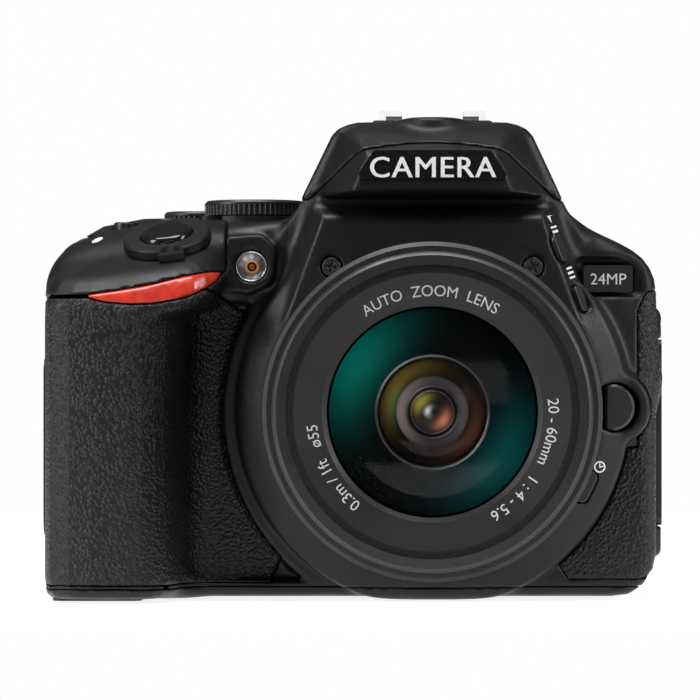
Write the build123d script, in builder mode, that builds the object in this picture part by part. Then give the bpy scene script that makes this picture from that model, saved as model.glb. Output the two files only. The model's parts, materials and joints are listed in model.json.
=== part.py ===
"""Digital single-lens reflex camera with a retractable standard zoom lens.

Millimetres. The frame's origin is the mouth of the tripod socket, below the lens axis.
+Z is up, the lens looks along -Y, and the hand grip is on the -X side.
"""

import os
from math import asin, cos, degrees, radians, sin, tan

from build123d import *

os.makedirs("parts", exist_ok=True)

# Overall layout
axis_z = 37.0  # lens axis above the base
left_x, right_x = -78.2, 44.4  # side faces of the body
front_y, back_y = -12.0, 30.0  # main front and back faces
flange_y = -22.0  # seat of the lens
sensor_y = flange_y + 46.5
deck_z, hump_z = 75.0, 95.3  # shoulder height and prism housing height
wall = 2.0
hump_wall = 3.0
base_t = 2.4  # base cover thickness
skin_t = 1.3  # rubber skins
gap = 0.3  # clearance round doors and the flash head
slack = 0.15  # clearance round buttons
inner_y = -5.0  # back of the thick front wall
split_y = 20.0  # seam between front and rear covers
top_seam_z = 72.0
deck_seam_z = 59.5

# Lens mount surround
collar_r, collar_y, apron_y = 38.8, -16.5, -20.0
apron_taper = 30

# Sloping shutter deck on top of the grip
deck_centre = (-52.3, -13.0, 70.2)
deck_plane = Plane(origin=deck_centre, x_dir=(1, 0, 0.14), z_dir=(-0.14, -0.42, 1))
deck_edge_x = -38.9
deck_seam_x = -40.8

# Pop-up flash
flash_back_y = -1.0
flash_round = 2.0  # rear edge radius, centred on the hinge
flash_pivot = (flash_back_y - flash_round, hump_z - flash_round)

# Lens
mount_r, throat_r, lug_r = 29.0, 23.6, 22.2
spigot_r = 21.9
zoom_r, barrel_r = 31.9, 28.8
lens_front_y = flange_y - 62.5
zoom_front_y = flange_y - 42.5
filter_r, filter_depth = 27.0, 3.5
glass_r, glass_front_y, glass_bulge = 19.5, -79.9, 3.7
glass_sphere_r = (glass_r**2 + glass_bulge**2) / (2 * glass_bulge)
glass_angle = degrees(asin(glass_r / glass_sphere_r))

# Rear monitor
monitor_x, monitor_z = (-36.5, 39.8), (7.0, 63.0)
monitor_y = (30.4, 36.6)
hinge_x, hinge_y, hinge_r = 42.6, 33.5, 2.6

# Doors
battery_door_x, battery_door_y = (-74.5, -57.0), (-22.5, 15.0)
card_door_y, card_door_z = (2.3, 24.7), (12.3, 47.7)
port_cover_y, port_cover_z = (-4.0, 20.0), (14.4, 51.5)

slab_points = [(left_x, 0), (right_x, 0), (right_x, 66.9), (28.3, deck_z), (left_x, deck_z)]
slab_radii = [5, 9, 8, 4, 20]
hump_points = [
    (-29.5, top_seam_z),
    (-29.5, 69.5),
    (28.8, 69.5),
    (28.8, top_seam_z),
    (17.4, hump_z),
    (-17.4, hump_z),
]
hump_radii = [0, 0, 0, 0, 6, 6]
hump_side = [
    (-13, 60),
    (-13, 79.2),
    (-26.4, 81.0),
    (-24.4, 90.5),
    (-19, 93.8),
    (-8, hump_z),
    (25, hump_z),
    (33, 90),
    (33, 60),
]
hump_side_radii = [0, 0, 0.6, 2, 5, 10, 4, 3, 0]
column_points = [(left_x, 12), (left_x, -29.5), (-53, -29.5), (-48.5, -6), (-48.5, 12)]
column_radii = [0, 12, 7, 0, 0]
deck_points = [(left_x, 12), (left_x, -29.5), (-46, -29.5), (deck_edge_x, -10), (deck_edge_x, 12)]
deck_radii = [0, 12, 8, 0, 0]
deck_floor_z = 57.0
apron_points = [(-24.5, 80), (24.5, 80), (35.5, 50), (-35.5, 50)]
flash_seam = [
    (-45, 79.0),
    (-24.0, 79.0),
    (-19.5, 84.3),
    (-15, 87.7),
    (-10.5, 89.4),
    (0, 90.3),
    (10.5, 89.4),
    (15, 87.7),
    (19.5, 84.3),
    (24.0, 79.0),
    (45, 79.0),
]
accent_points = [
    (-68.4, 59.9),
    (-62.0, 58.7),
    (-56.0, 58.3),
    (-50.5, 58.9),
    (-45.0, 61.0),
    (-41.0, 64.4),
    (-46.0, 63.2),
    (-56.0, 61.6),
]

# Push buttons: name, centre, radius, and for those on top the height of the cover there
rear_buttons = [
    ("play_button", -43.0, 57.5, 2.5),
    ("zoom_in_button", -43.5, 18.0, 2.6),
    ("zoom_out_button", -53.5, 14.0, 2.6),
    ("delete_button", -64.5, 16.0, 2.6),
    ("ae_lock_button", -39.5, 68.3, 2.4),
    ("menu_button", 30.3, 67.6, 2.5),
]
top_buttons = [
    ("movie_button", -61.5, -0.6, 74.2, 2.3),
    ("exposure_button", -53.5, 4.5, 75.0, 2.6),
]
selector_x, selector_z, selector_r = -57.0, 37.0, 9.5
ok_r = 3.6
mode_dial_xy, mode_dial_r = (-35.8, 6.0), 10.1
command_dial_xy, command_dial_r = (-47.5, 20.5), 7.4
release_button_xz = (36.9, 37.9)
timer_button_xz = (30.2, 22.3)
lamp_xz = (-35.8, 65.8)
badge_xz, badge_size = (34.8, 63.4), (9.7, 5.3)
diopter_xz = (-21.3, 80.0)
eyecup_z = 80.0


def write(builder, name):
    """Labels a finished piece and writes its STEP file."""
    builder.part.label = name
    export_step(builder.part, f"parts/{name}.step")


def front_plane(y):
    """A sketch plane that faces forward at depth y, with X right and Z up."""
    return Plane.XZ.offset(-y)


def rear_plane(y, x=0, z=0):
    """A sketch plane that faces backward, centred on (x, y, z)."""
    return Plane(origin=(x, y, z), x_dir=(-1, 0, 0), z_dir=(0, 1, 0))


def side_plane(x):
    """A sketch plane that faces +X, with Y right and Z up."""
    return Plane.YZ.offset(x)


def block(x, y, z):
    """A box between limits along each axis."""
    box = Box(x[1] - x[0], y[1] - y[0], z[1] - z[0], mode=Mode.PRIVATE)
    return Pos(sum(x) / 2, sum(y) / 2, sum(z) / 2) * box


def grown(limits, amount):
    """Widens a pair of limits at both ends."""
    return (limits[0] - amount, limits[1] + amount)


def apron_side_plane(z, inset):
    """A plane on the apron's right flank, looking out, some way in from the base edge."""
    base_x = 24.5 + (80 - z) * 11 / 30
    run = Vector(11, 0, -30).normalized()
    out = Vector(30, 0, 11).normalized()
    normal = out * cos(radians(apron_taper)) + Vector(0, -1, 0) * sin(radians(apron_taper))
    edge = Vector(base_x, front_y, z)
    climb = Vector(0, -1, 0) * (inset / tan(radians(apron_taper))) - out * inset
    return Plane(origin=edge + climb, x_dir=run, z_dir=normal)


# ---------------------------------------------------------------- body forms
with BuildPart() as slab_form:
    with BuildSketch(front_plane(back_y)):
        with BuildLine():
            FilletPolyline(*slab_points, radius=slab_radii, close=True)
        make_face()
    extrude(amount=back_y - front_y)
    fillet(slab_form.faces().sort_by(Axis.Y)[-1].edges(), 3)
    fillet(slab_form.faces().sort_by(Axis.Y)[0].edges(), 3)

with BuildPart() as slab_core:
    with BuildSketch(front_plane(back_y - wall)):
        with BuildLine():
            FilletPolyline(*slab_points, radius=slab_radii, close=True)
        make_face()
        offset(amount=-wall)
    extrude(amount=back_y - wall - inner_y)

with BuildPart() as column_form:
    with BuildSketch():
        with BuildLine():
            FilletPolyline(*column_points, radius=column_radii, close=True)
        make_face()
    extrude(amount=deck_seam_z)

with BuildPart() as column_core:
    with BuildSketch(Plane.XY.offset(-1)):
        with BuildLine():
            FilletPolyline(*column_points, radius=column_radii, close=True)
        make_face()
        offset(amount=-skin_t)
    extrude(amount=deck_z)

with BuildPart() as column_cavity:
    with BuildSketch(Plane.XY.offset(base_t)):
        with BuildLine():
            FilletPolyline(*column_points, radius=column_radii, close=True)
        make_face()
        offset(amount=-skin_t - wall)
    extrude(amount=deck_seam_z + 1 - base_t)
    add(block((-60, -50), (inner_y - 1, 10), (base_t, deck_seam_z + 1)))

with BuildPart() as deck_form:
    with BuildSketch(Plane.XY.offset(deck_floor_z)):
        with BuildLine():
            FilletPolyline(*deck_points, radius=deck_radii, close=True)
        make_face()
    extrude(amount=deck_z - deck_floor_z)
    with BuildSketch(front_plane(20)):
        with BuildLine():
            FilletPolyline(*slab_points, radius=slab_radii, close=True)
        make_face()
    extrude(amount=60, mode=Mode.INTERSECT)
    with BuildSketch(deck_plane):
        Rectangle(120, 90)
    extrude(amount=25, mode=Mode.SUBTRACT)

with BuildPart() as deck_layer:
    with BuildSketch(Plane.XY.offset(deck_floor_z)):
        with BuildLine():
            FilletPolyline(*deck_points, radius=deck_radii, close=True)
        make_face()
        with BuildLine():
            FilletPolyline(*deck_points, radius=deck_radii, close=True)
        offset(make_face(mode=Mode.PRIVATE), amount=-1, mode=Mode.SUBTRACT)
    extrude(amount=10)

with BuildPart() as deck_cavity:
    with BuildSketch(Plane.XY.offset(deck_floor_z + wall)):
        with BuildLine():
            FilletPolyline(*deck_points, radius=deck_radii, close=True)
        make_face()
        offset(amount=-wall - 0.4)
    extrude(amount=deck_z - deck_floor_z - 2 * wall)
    with BuildSketch(front_plane(20)):
        with BuildLine():
            FilletPolyline(*slab_points, radius=slab_radii, close=True)
        make_face()
        offset(amount=-wall)
    extrude(amount=60, mode=Mode.INTERSECT)
    with BuildSketch(deck_plane.offset(-wall)):
        Rectangle(120, 90)
    extrude(amount=25, mode=Mode.SUBTRACT)

with BuildPart() as hump_form:
    with BuildSketch(front_plane(40)):
        with BuildLine():
            FilletPolyline(*hump_points, radius=hump_radii, close=True)
        make_face()
    extrude(amount=70)
    with BuildSketch(side_plane(-40)):
        with BuildLine():
            FilletPolyline(*hump_side, radius=hump_side_radii, close=True)
        make_face()
    extrude(amount=80, mode=Mode.INTERSECT)

with BuildPart() as hump_core:
    with BuildSketch(front_plane(40)):
        with BuildLine():
            FilletPolyline((-29.5, 66), (-29.5, 72), (-17.4, hump_z), (17.4, hump_z),
                           (28.8, 72), (28.8, 66), radius=[0, 0, 6, 6, 0, 0], close=True)
        make_face()
        offset(amount=-hump_wall)
    extrude(amount=70)
    with BuildSketch(side_plane(-40)):
        with BuildLine():
            FilletPolyline(*hump_side, radius=hump_side_radii, close=True)
        make_face()
        offset(amount=-hump_wall)
    extrude(amount=80, mode=Mode.INTERSECT)

with BuildPart() as apron_form:
    with BuildSketch(front_plane(front_y)):
        with BuildLine():
            Polyline(*apron_points, close=True)
        make_face()
    extrude(amount=front_y - apron_y, taper=apron_taper)

with BuildPart() as collar_form:
    with BuildSketch(Plane.XY):
        with BuildLine():
            Polyline((0, inner_y), (collar_r, inner_y), (collar_r, collar_y), (33, apron_y),
                     (0, apron_y), close=True)
        make_face()
    revolve(axis=Axis.Y)

with BuildPart() as collar_core:
    with BuildSketch(Plane.XY):
        with BuildLine():
            Polyline((0, inner_y), (36.3, inner_y), (36.3, -14), (31, apron_y + wall),
                     (0, apron_y + wall), close=True)
        make_face()
    revolve(axis=Axis.Y)

with BuildPart() as scoop_form:
    with BuildSketch(front_plane(-7)):
        with Locations((-37, 31.5)):
            Rectangle(26, 55)
        with Locations((0, axis_z)):
            Circle(41.5, mode=Mode.SUBTRACT)
    extrude(amount=12)
    with BuildSketch():
        with BuildLine():
            FilletPolyline(*column_points, radius=column_radii, close=True)
        make_face()
        offset(amount=-0.3)
    extrude(amount=deck_seam_z, mode=Mode.SUBTRACT)

with BuildPart() as thumb_form:
    with BuildSketch(front_plane(32)):
        with BuildLine():
            FilletPolyline((left_x, 49), (-58, 49), (-58, 71.5), (left_x, 71.5),
                           radius=[0, 6, 4, 0], close=True)
        make_face()
    extrude(amount=4)
    with BuildSketch(front_plane(40)):
        with BuildLine():
            FilletPolyline(*slab_points, radius=slab_radii, close=True)
        make_face()
        offset(amount=-1.5)
    extrude(amount=30, mode=Mode.INTERSECT)

with BuildPart() as body_form:
    add(slab_form.part)
    add(scoop_form.part, mode=Mode.SUBTRACT)
    add(column_form.part)
    add(deck_form.part)
    with BuildSketch(deck_plane):
        with Locations((-27, 0)):
            Rectangle(2 * (27 + 13.4), 60)
    extrude(amount=15, mode=Mode.SUBTRACT)
    add(hump_form.part)
    add(apron_form.part)
    add(Pos(0, 0, axis_z) * collar_form.part)
    with BuildSketch(front_plane(front_y)):
        with Locations((36, 37.8)):
            Circle(7.1)
    extrude(amount=4.5)
    with BuildSketch(front_plane(front_y)):
        with Locations(lamp_xz):
            RectangleRounded(9.6, 10.7, 3)
    extrude(amount=2.2)
    add(block((-24, 24), (back_y - wall, 33), (66, top_seam_z)))
    add(thumb_form.part)
    add(block((-120, 120), (-60, 60), (-20, 0)), mode=Mode.SUBTRACT)

with BuildPart() as cavity_form:
    add(slab_core.part)
    add(column_cavity.part)
    add(deck_cavity.part)
    add(hump_core.part)
    add(Pos(0, 0, axis_z) * collar_core.part)
    add(block((-21, 21), (inner_y - 7, 10), (50, 78)))
    add(block((-120, 120), (-60, 60), (-20, base_t)), mode=Mode.SUBTRACT)

with BuildPart() as flash_region:
    with BuildSketch(front_plane(10)):
        with BuildLine():
            Polyline(*flash_seam, (45, 99), (-45, 99), close=True)
        make_face()
    extrude(amount=60)
    with BuildSketch(side_plane(-40)):
        with BuildLine():
            FilletPolyline((-50, 60), (flash_back_y, 60), (flash_back_y, hump_z), (-50, hump_z),
                           radius=[0, 0, flash_round, 0], close=True)
        make_face()
    extrude(amount=80, mode=Mode.INTERSECT)

with BuildPart() as flash_well:
    with BuildSketch(front_plane(flash_back_y + gap)):
        with BuildLine():
            Polyline(*flash_seam, (45, 99), (-45, 99), close=True)
        make_face()
        offset(amount=gap, kind=Kind.INTERSECTION)
    extrude(amount=60)

with BuildPart() as shell_form:
    add(body_form.part)
    add(cavity_form.part, mode=Mode.SUBTRACT)

# Everything that closes the prism housing below and behind the flash
with BuildPart() as stays:
    add(block((-30, 30), (-30, flash_back_y + gap), (77.8, 79.2)))
    add(block((-30, 30), (flash_back_y + gap, 1.0), (77.8, 97)))
    add(block((-12, 12), (1.0, 24), (91.0, 94)))

with BuildPart() as bulkhead_form:
    add(hump_form.part)
    add(stays.part, mode=Mode.INTERSECT)


# ---------------------------------------------------------------- push buttons
def push_button(plane, radius, proud, depth):
    """A captive button: a cap through a cover of the given depth, and its inner flange."""
    with BuildPart() as cap:
        with BuildSketch(plane.offset(-depth - 0.5)):
            Circle(radius)
        extrude(amount=depth + 0.5 + proud)
        fillet(cap.faces().sort_by(Axis(plane.origin, plane.z_dir))[-1].edges(), 0.4)
        with BuildSketch(plane.offset(-depth - 0.3)):
            Circle(radius + 0.8)
        extrude(amount=-1)
    return cap


def slot_button(plane, length, width, proud, depth):
    """A captive button with rounded ends, through a cover of the given depth."""
    with BuildPart() as cap:
        with BuildSketch(plane.offset(-depth - 0.5)):
            SlotOverall(length, width)
        extrude(amount=depth + 0.5 + proud)
        fillet(cap.faces().sort_by(Axis(plane.origin, plane.z_dir))[-1].edges(), 0.3)
    return cap


rear_planes = {name: (rear_plane(back_y, x, z), r) for name, x, z, r in rear_buttons}
for name, (plane, radius) in rear_planes.items():
    write(push_button(plane, radius, 1.2, wall), name)

top_planes = {name: (Plane(origin=(x, y, z)), r) for name, x, y, z, r in top_buttons}
for name, (plane, radius) in top_planes.items():
    write(push_button(plane, radius, 0.8, wall + 1.6), name)

flash_button_plane = apron_side_plane(70.5, 3.6)
function_button_plane = apron_side_plane(60.3, 3.2)
timer_button_plane = Plane(
    origin=(timer_button_xz[0], -19.3, timer_button_xz[1]),
    x_dir=(0.44, 0, 0.9),
    z_dir=(0, -1, 0),
)
front_slots = [
    ("flash_button", flash_button_plane, 5.9, 2.9, 0.9, 3.0),
    ("function_button", function_button_plane, 5.4, 2.7, 0.9, 3.0),
    ("timer_button", timer_button_plane, 6.5, 2.6, 1.0, 3.0),
]
for name, plane, length, width, proud, depth in front_slots:
    write(slot_button(plane, length, width, proud, depth), name)

with BuildPart() as lens_release_button:
    with BuildSketch(front_plane(-14)):
        with Locations((release_button_xz[0] - 1.7, release_button_xz[1])):
            Circle(4.6)
            with Locations((-4.2, 0)):
                Rectangle(6, 12, mode=Mode.SUBTRACT)
    extrude(amount=4.4)
    chamfer(lens_release_button.faces().sort_by(Axis.Y)[0].edges(), 0.5)
write(lens_release_button, "lens_release_button")

with BuildPart() as shutter_button:
    with BuildSketch(deck_plane.offset(1.2)):
        Circle(5.1)
    extrude(amount=1.9)
    fillet(shutter_button.faces().sort_by(Axis(deck_plane.origin, deck_plane.z_dir))[-1].edges(), 1.2)
    with BuildSketch(deck_plane.offset(-3)):
        Circle(2.8)
    extrude(amount=5)
write(shutter_button, "shutter_button")

with BuildPart() as power_switch:
    with BuildSketch(deck_plane.offset(0.15)):
        Circle(8.7)
        with Locations((0.8, -8.6)):
            Rectangle(5, 3.4)
    extrude(amount=1.9)
    chamfer(power_switch.faces().sort_by(Axis(deck_plane.origin, deck_plane.z_dir))[-1].edges(), 0.4)
    with BuildSketch(deck_plane.offset(2)):
        with Locations((0.8, -8.2)):
            with GridLocations(2.6, 1, 2, 1):
                Rectangle(1.1, 2.6)
    extrude(amount=0.9)
    with BuildSketch(deck_plane):
        Circle(5.35)
    extrude(amount=5, mode=Mode.SUBTRACT)
write(power_switch, "power_switch")


# ---------------------------------------------------------------- dials
def ribbed_disc(plane, radius, height, ribs, depth, chamfer_size):
    """A disc with a fine straight knurl cut into its edge."""
    with BuildPart() as disc:
        with BuildSketch(plane):
            Circle(radius)
        extrude(amount=height)
        chamfer(disc.faces().sort_by(Axis(plane.origin, plane.z_dir))[-1].edges(), chamfer_size)
        with BuildSketch(plane):
            with PolarLocations(radius + 0.25, ribs):
                Circle(0.25 + depth)
        extrude(amount=height - 0.9, mode=Mode.SUBTRACT)
    return disc


mode_plane = Plane(origin=(*mode_dial_xy, deck_z + 1.5))
with BuildPart() as mode_dial:
    add(ribbed_disc(mode_plane, mode_dial_r, 3.0, 60, 0.25, 0.5).part)
    with BuildSketch(mode_plane):
        Circle(3)
    extrude(amount=-4.6)
write(mode_dial, "mode_dial")

with BuildPart() as live_view_lever:
    with BuildSketch(Plane(origin=(*mode_dial_xy, deck_z + 0.15))):
        Circle(mode_dial_r)
        with Locations((-8.6, -6.4)):
            Circle(2.4)
        Circle(3.4, mode=Mode.SUBTRACT)
    extrude(amount=1.1)
write(live_view_lever, "live_view_lever")

command_plane = Plane(origin=(*command_dial_xy, deck_z + 0.3))
with BuildPart() as command_dial:
    add(ribbed_disc(command_plane, command_dial_r, 2.6, 40, 0.35, 0.5).part)
    with BuildSketch(command_plane):
        Circle(2)
    extrude(amount=-3.2)
write(command_dial, "command_dial")

diopter_plane = rear_plane(33.3, *diopter_xz)
with BuildPart() as diopter_dial:
    add(ribbed_disc(diopter_plane, 3.2, 2.4, 20, 0.2, 0.3).part)
    with BuildSketch(diopter_plane):
        Circle(1.2)
    extrude(amount=-2.6)
write(diopter_dial, "diopter_dial")

selector_plane = rear_plane(back_y, selector_x, selector_z)
with BuildPart() as selector_pad:
    with BuildSketch(selector_plane.offset(-1.6)):
        Circle(selector_r)
    extrude(amount=3.0)
    fillet(selector_pad.faces().sort_by(Axis.Y)[-1].edges(), 0.8)
    with BuildSketch(selector_plane.offset(-2)):
        Circle(ok_r + slack)
    extrude(amount=5, mode=Mode.SUBTRACT)
write(selector_pad, "selector_pad")

with BuildPart() as ok_button:
    with BuildSketch(selector_plane.offset(-1.4)):
        Circle(ok_r)
    extrude(amount=3.2)
    fillet(ok_button.faces().sort_by(Axis.Y)[-1].edges(), 0.5)
write(ok_button, "ok_button")

# ---------------------------------------------------------------- trim set into the covers
with BuildPart() as accent_strip:
    with BuildSketch(front_plane(0)):
        with BuildLine():
            Spline(*accent_points[:6])
            Spline(accent_points[5], accent_points[6], accent_points[7], accent_points[0])
        make_face()
    extrude(amount=40)
    add(deck_layer.part, mode=Mode.INTERSECT)
write(accent_strip, "accent_strip")

with BuildPart() as grip_skin:
    add(column_form.part)
    add(column_core.part, mode=Mode.SUBTRACT)
    add(block((-90, -30), (-40, -0.5), (3.0, deck_seam_z - 0.2)), mode=Mode.INTERSECT)
    with BuildSketch(front_plane(-7)):
        with Locations((-37, 30.5)):
            Rectangle(26, 52.8)
        with Locations((0, axis_z)):
            Circle(41.7, mode=Mode.SUBTRACT)
    extrude(amount=skin_t)
    add(column_core.part, mode=Mode.SUBTRACT)
    add(accent_strip.part, mode=Mode.SUBTRACT)
write(grip_skin, "grip_skin")

with BuildPart() as front_skin:
    with BuildSketch(front_plane(-11.4)):
        with BuildLine():
            Polyline((24.4, 7.7), (26.9, 3.9), (40.2, 3.9), (41.3, 8), (41.3, 34), (24, 34), close=True)
        make_face()
        with Locations((0, axis_z)):
            Circle(collar_r + 0.1, mode=Mode.SUBTRACT)
        with Locations((36, 37.8)):
            Circle(7.2, mode=Mode.SUBTRACT)
    extrude(amount=1.0)
    add(apron_form.part, mode=Mode.SUBTRACT)
write(front_skin, "front_skin")

with BuildPart() as thumb_skin:
    with BuildSketch(front_plane(33)):
        with BuildLine():
            FilletPolyline((-75, 51), (-60, 51), (-60, 68), (-71, 70), (-75, 66),
                           radius=[3, 4, 3, 2, 2], close=True)
        make_face()
    extrude(amount=skin_t)
write(thumb_skin, "thumb_skin")

plate_plane = Plane(origin=(0, -25.47, 85.4), x_dir=(1, 0, 0), z_dir=(0, -0.9785, 0.206))
with BuildPart() as name_plate:
    with BuildSketch(plate_plane.offset(-0.4)):
        with BuildLine():
            FilletPolyline((-15.2, -3.2), (15.2, -3.2), (11.4, 2.7), (-11.4, 2.7), radius=1, close=True)
        make_face()
    extrude(amount=0.9)
write(name_plate, "name_plate")

with BuildPart() as badge_plate:
    with BuildSketch(front_plane(front_y + 0.4)):
        with Locations(badge_xz):
            RectangleRounded(*badge_size, 0.6)
    extrude(amount=0.9)
write(badge_plate, "badge_plate")

with BuildPart() as af_lamp:
    with BuildSketch(front_plane(front_y + 5)):
        with Locations(lamp_xz):
            Circle(3.1)
    extrude(amount=6.8)
    fillet(af_lamp.faces().sort_by(Axis.Y)[0].edges(), 0.8)
write(af_lamp, "af_lamp")

lug_centres = [(-71.4, 10, 68.2), (43.2, 12, 55.8)]
with BuildPart() as strap_lugs:
    with Locations(*[Plane(origin=at, x_dir=(1, 0, 0), z_dir=(0, -1, 0)) for at in lug_centres]):
        Cylinder(3.2, 2.2)
        Cylinder(1.5, 2.2, mode=Mode.SUBTRACT)
write(strap_lugs, "strap_lugs")

# ---------------------------------------------------------------- accessory shoe and viewfinder
shoe_z = 93.6
with BuildPart() as hot_shoe:
    add(block((-10.8, 10.8), (2, 22), (shoe_z, 97.6)))
    add(block((-9.35, 9.35), (0, 24), (shoe_z + 0.8, 96.4)), mode=Mode.SUBTRACT)
    add(block((-6.2, 6.2), (0, 24), (shoe_z + 0.8, 99)), mode=Mode.SUBTRACT)
    fillet(hot_shoe.edges().filter_by(Axis.Y).group_by(Axis.Z)[-1], 0.4)
    with BuildSketch(Plane.XY.offset(shoe_z + 0.8)):
        with Locations((0, 15)):
            Circle(1.2)
        with GridLocations(5, 5, 2, 2):
            with Locations((0, 12)):
                Circle(0.8)
    extrude(amount=0.2)
write(hot_shoe, "hot_shoe")

with BuildPart() as eyecup:
    with BuildSketch(rear_plane(33, 0, eyecup_z)):
        RectangleRounded(34, 24, 7)
        RectangleRounded(20, 13, 3, mode=Mode.SUBTRACT)
    extrude(amount=9)
    fillet(eyecup.faces().sort_by(Axis.Y)[-1].outer_wire().edges(), 2.5)
    chamfer(eyecup.faces().sort_by(Axis.Y)[-1].inner_wires()[0].edges(), 2.4)
write(eyecup, "eyecup")

with BuildPart() as eyepiece_lens:
    with BuildSketch(rear_plane(30.4, 0, eyecup_z)):
        RectangleRounded(19.4, 12.4, 2.8)
    extrude(amount=2)
write(eyepiece_lens, "eyepiece_lens")

with BuildPart() as pentaprism:
    with BuildSketch(side_plane(-15)):
        with BuildLine():
            Polyline((-11, 57.2), (-11, 71), (-4, 77.4), (1.6, 77.4), (5, 87), (12, 87),
                     (22, 82), (22, 72), (12, 57.2), close=True)
        make_face()
    extrude(amount=30)
write(pentaprism, "pentaprism")

# ---------------------------------------------------------------- flash
with BuildPart() as flash_lamp:
    add(block((-13, 13), (-17, -7), (86, 90.6)))
    chamfer(flash_lamp.edges().filter_by(Axis.X), 0.8)
    add(block((-8, 8), (-14, -9), (90, 92.2)))
write(flash_lamp, "flash_lamp")

with BuildPart() as flash_head:
    add(hump_form.part)
    add(hump_core.part, mode=Mode.SUBTRACT)
    with BuildSketch(side_plane(-11.9)):
        with Locations(flash_pivot):
            Circle(flash_round)
    extrude(amount=23.8)
    add(flash_region.part, mode=Mode.INTERSECT)
    for x in (-16, 12):
        add(block((x, x + 4), (flash_pivot[0] - 2.2, 5), (88, 99)), mode=Mode.SUBTRACT)
    with BuildSketch(side_plane(-20)):
        with Locations(flash_pivot):
            Circle(0.85)
    extrude(amount=40, mode=Mode.SUBTRACT)
    add(flash_lamp.part, mode=Mode.SUBTRACT)
write(flash_head, "flash_head")

# ---------------------------------------------------------------- covers
with BuildPart() as grip_room:
    add(column_form.part)
    add(column_core.part, mode=Mode.SUBTRACT)
    add(block((-90, -30), (-40, -0.4), (3.0, deck_seam_z)), mode=Mode.INTERSECT)

with BuildPart() as front_cover:
    add(shell_form.part)
    add(block((-120, 120), (-60, split_y), (base_t, top_seam_z)), mode=Mode.INTERSECT)
    add(block((-90, deck_seam_x), (-60, -4), (deck_seam_z, 90)), mode=Mode.SUBTRACT)
    add(grip_room.part, mode=Mode.SUBTRACT)
    add(accent_strip.part, mode=Mode.SUBTRACT)
    add(front_skin.part, mode=Mode.SUBTRACT)
    add(badge_plate.part, mode=Mode.SUBTRACT)
    add(strap_lugs.part, mode=Mode.SUBTRACT)
    with BuildSketch(front_plane(apron_y + 4)):
        with Locations((0, axis_z)):
            Circle(throat_r + 0.9)
    extrude(amount=8, mode=Mode.SUBTRACT)
    with BuildSketch(front_plane(front_y + 9)):
        with Locations(lamp_xz):
            Circle(3.1)
    extrude(amount=14, mode=Mode.SUBTRACT)
    for name, plane, length, width, proud, depth in front_slots:
        with BuildSketch(plane.offset(2)):
            SlotOverall(length + 2 * slack, width + 2 * slack)
        extrude(amount=-11, mode=Mode.SUBTRACT)
    with BuildSketch(front_plane(-13)):
        with Locations((release_button_xz[0] - 1.7, release_button_xz[1])):
            Circle(4.6 + slack)
            with Locations((-4.2 - slack, 0)):
                Rectangle(6, 12, mode=Mode.SUBTRACT)
    extrude(amount=8, mode=Mode.SUBTRACT)
    add(block((right_x - 5, right_x + 5), (port_cover_y[0] + 0.5, port_cover_y[1] - 0.3),
              (port_cover_z[0] + 0.5, port_cover_z[1] - 0.5)), mode=Mode.SUBTRACT)
    add(block((left_x - 5, left_x + 4), grown(card_door_y, gap), grown(card_door_z, gap)),
        mode=Mode.SUBTRACT)

with BuildPart() as rear_cover:
    add(shell_form.part)
    add(block((-120, 120), (split_y, 60), (base_t, top_seam_z)), mode=Mode.INTERSECT)
    for z in ((10, 20.6), (49.4, 60)):
        with BuildSketch(Plane.XY.offset(z[0])):
            with Locations((hinge_x, hinge_y)):
                Circle(hinge_r)
            with Locations((hinge_x - 0.3, 31)):
                Rectangle(3.4, 5)
        extrude(amount=z[1] - z[0])
    with BuildSketch(Plane.XY.offset(15)):
        with Locations((hinge_x, hinge_y)):
            Circle(1.0)
    extrude(amount=40)
    add(thumb_skin.part, mode=Mode.SUBTRACT)
    for plane, radius in rear_planes.values():
        with BuildSketch(plane.offset(4)):
            Circle(radius + slack)
        extrude(amount=-8, mode=Mode.SUBTRACT)
    with BuildSketch(selector_plane.offset(4)):
        Circle(selector_r + 0.4)
    extrude(amount=-8, mode=Mode.SUBTRACT)
    add(block((left_x - 5, left_x + 4), grown(card_door_y, gap), grown(card_door_z, gap)),
        mode=Mode.SUBTRACT)

with BuildPart() as top_region:
    add(block((-120, 120), (-60, 60), (top_seam_z, 120)))
    add(block((-90, deck_seam_x), (-60, -4), (deck_seam_z, 90)))

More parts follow.
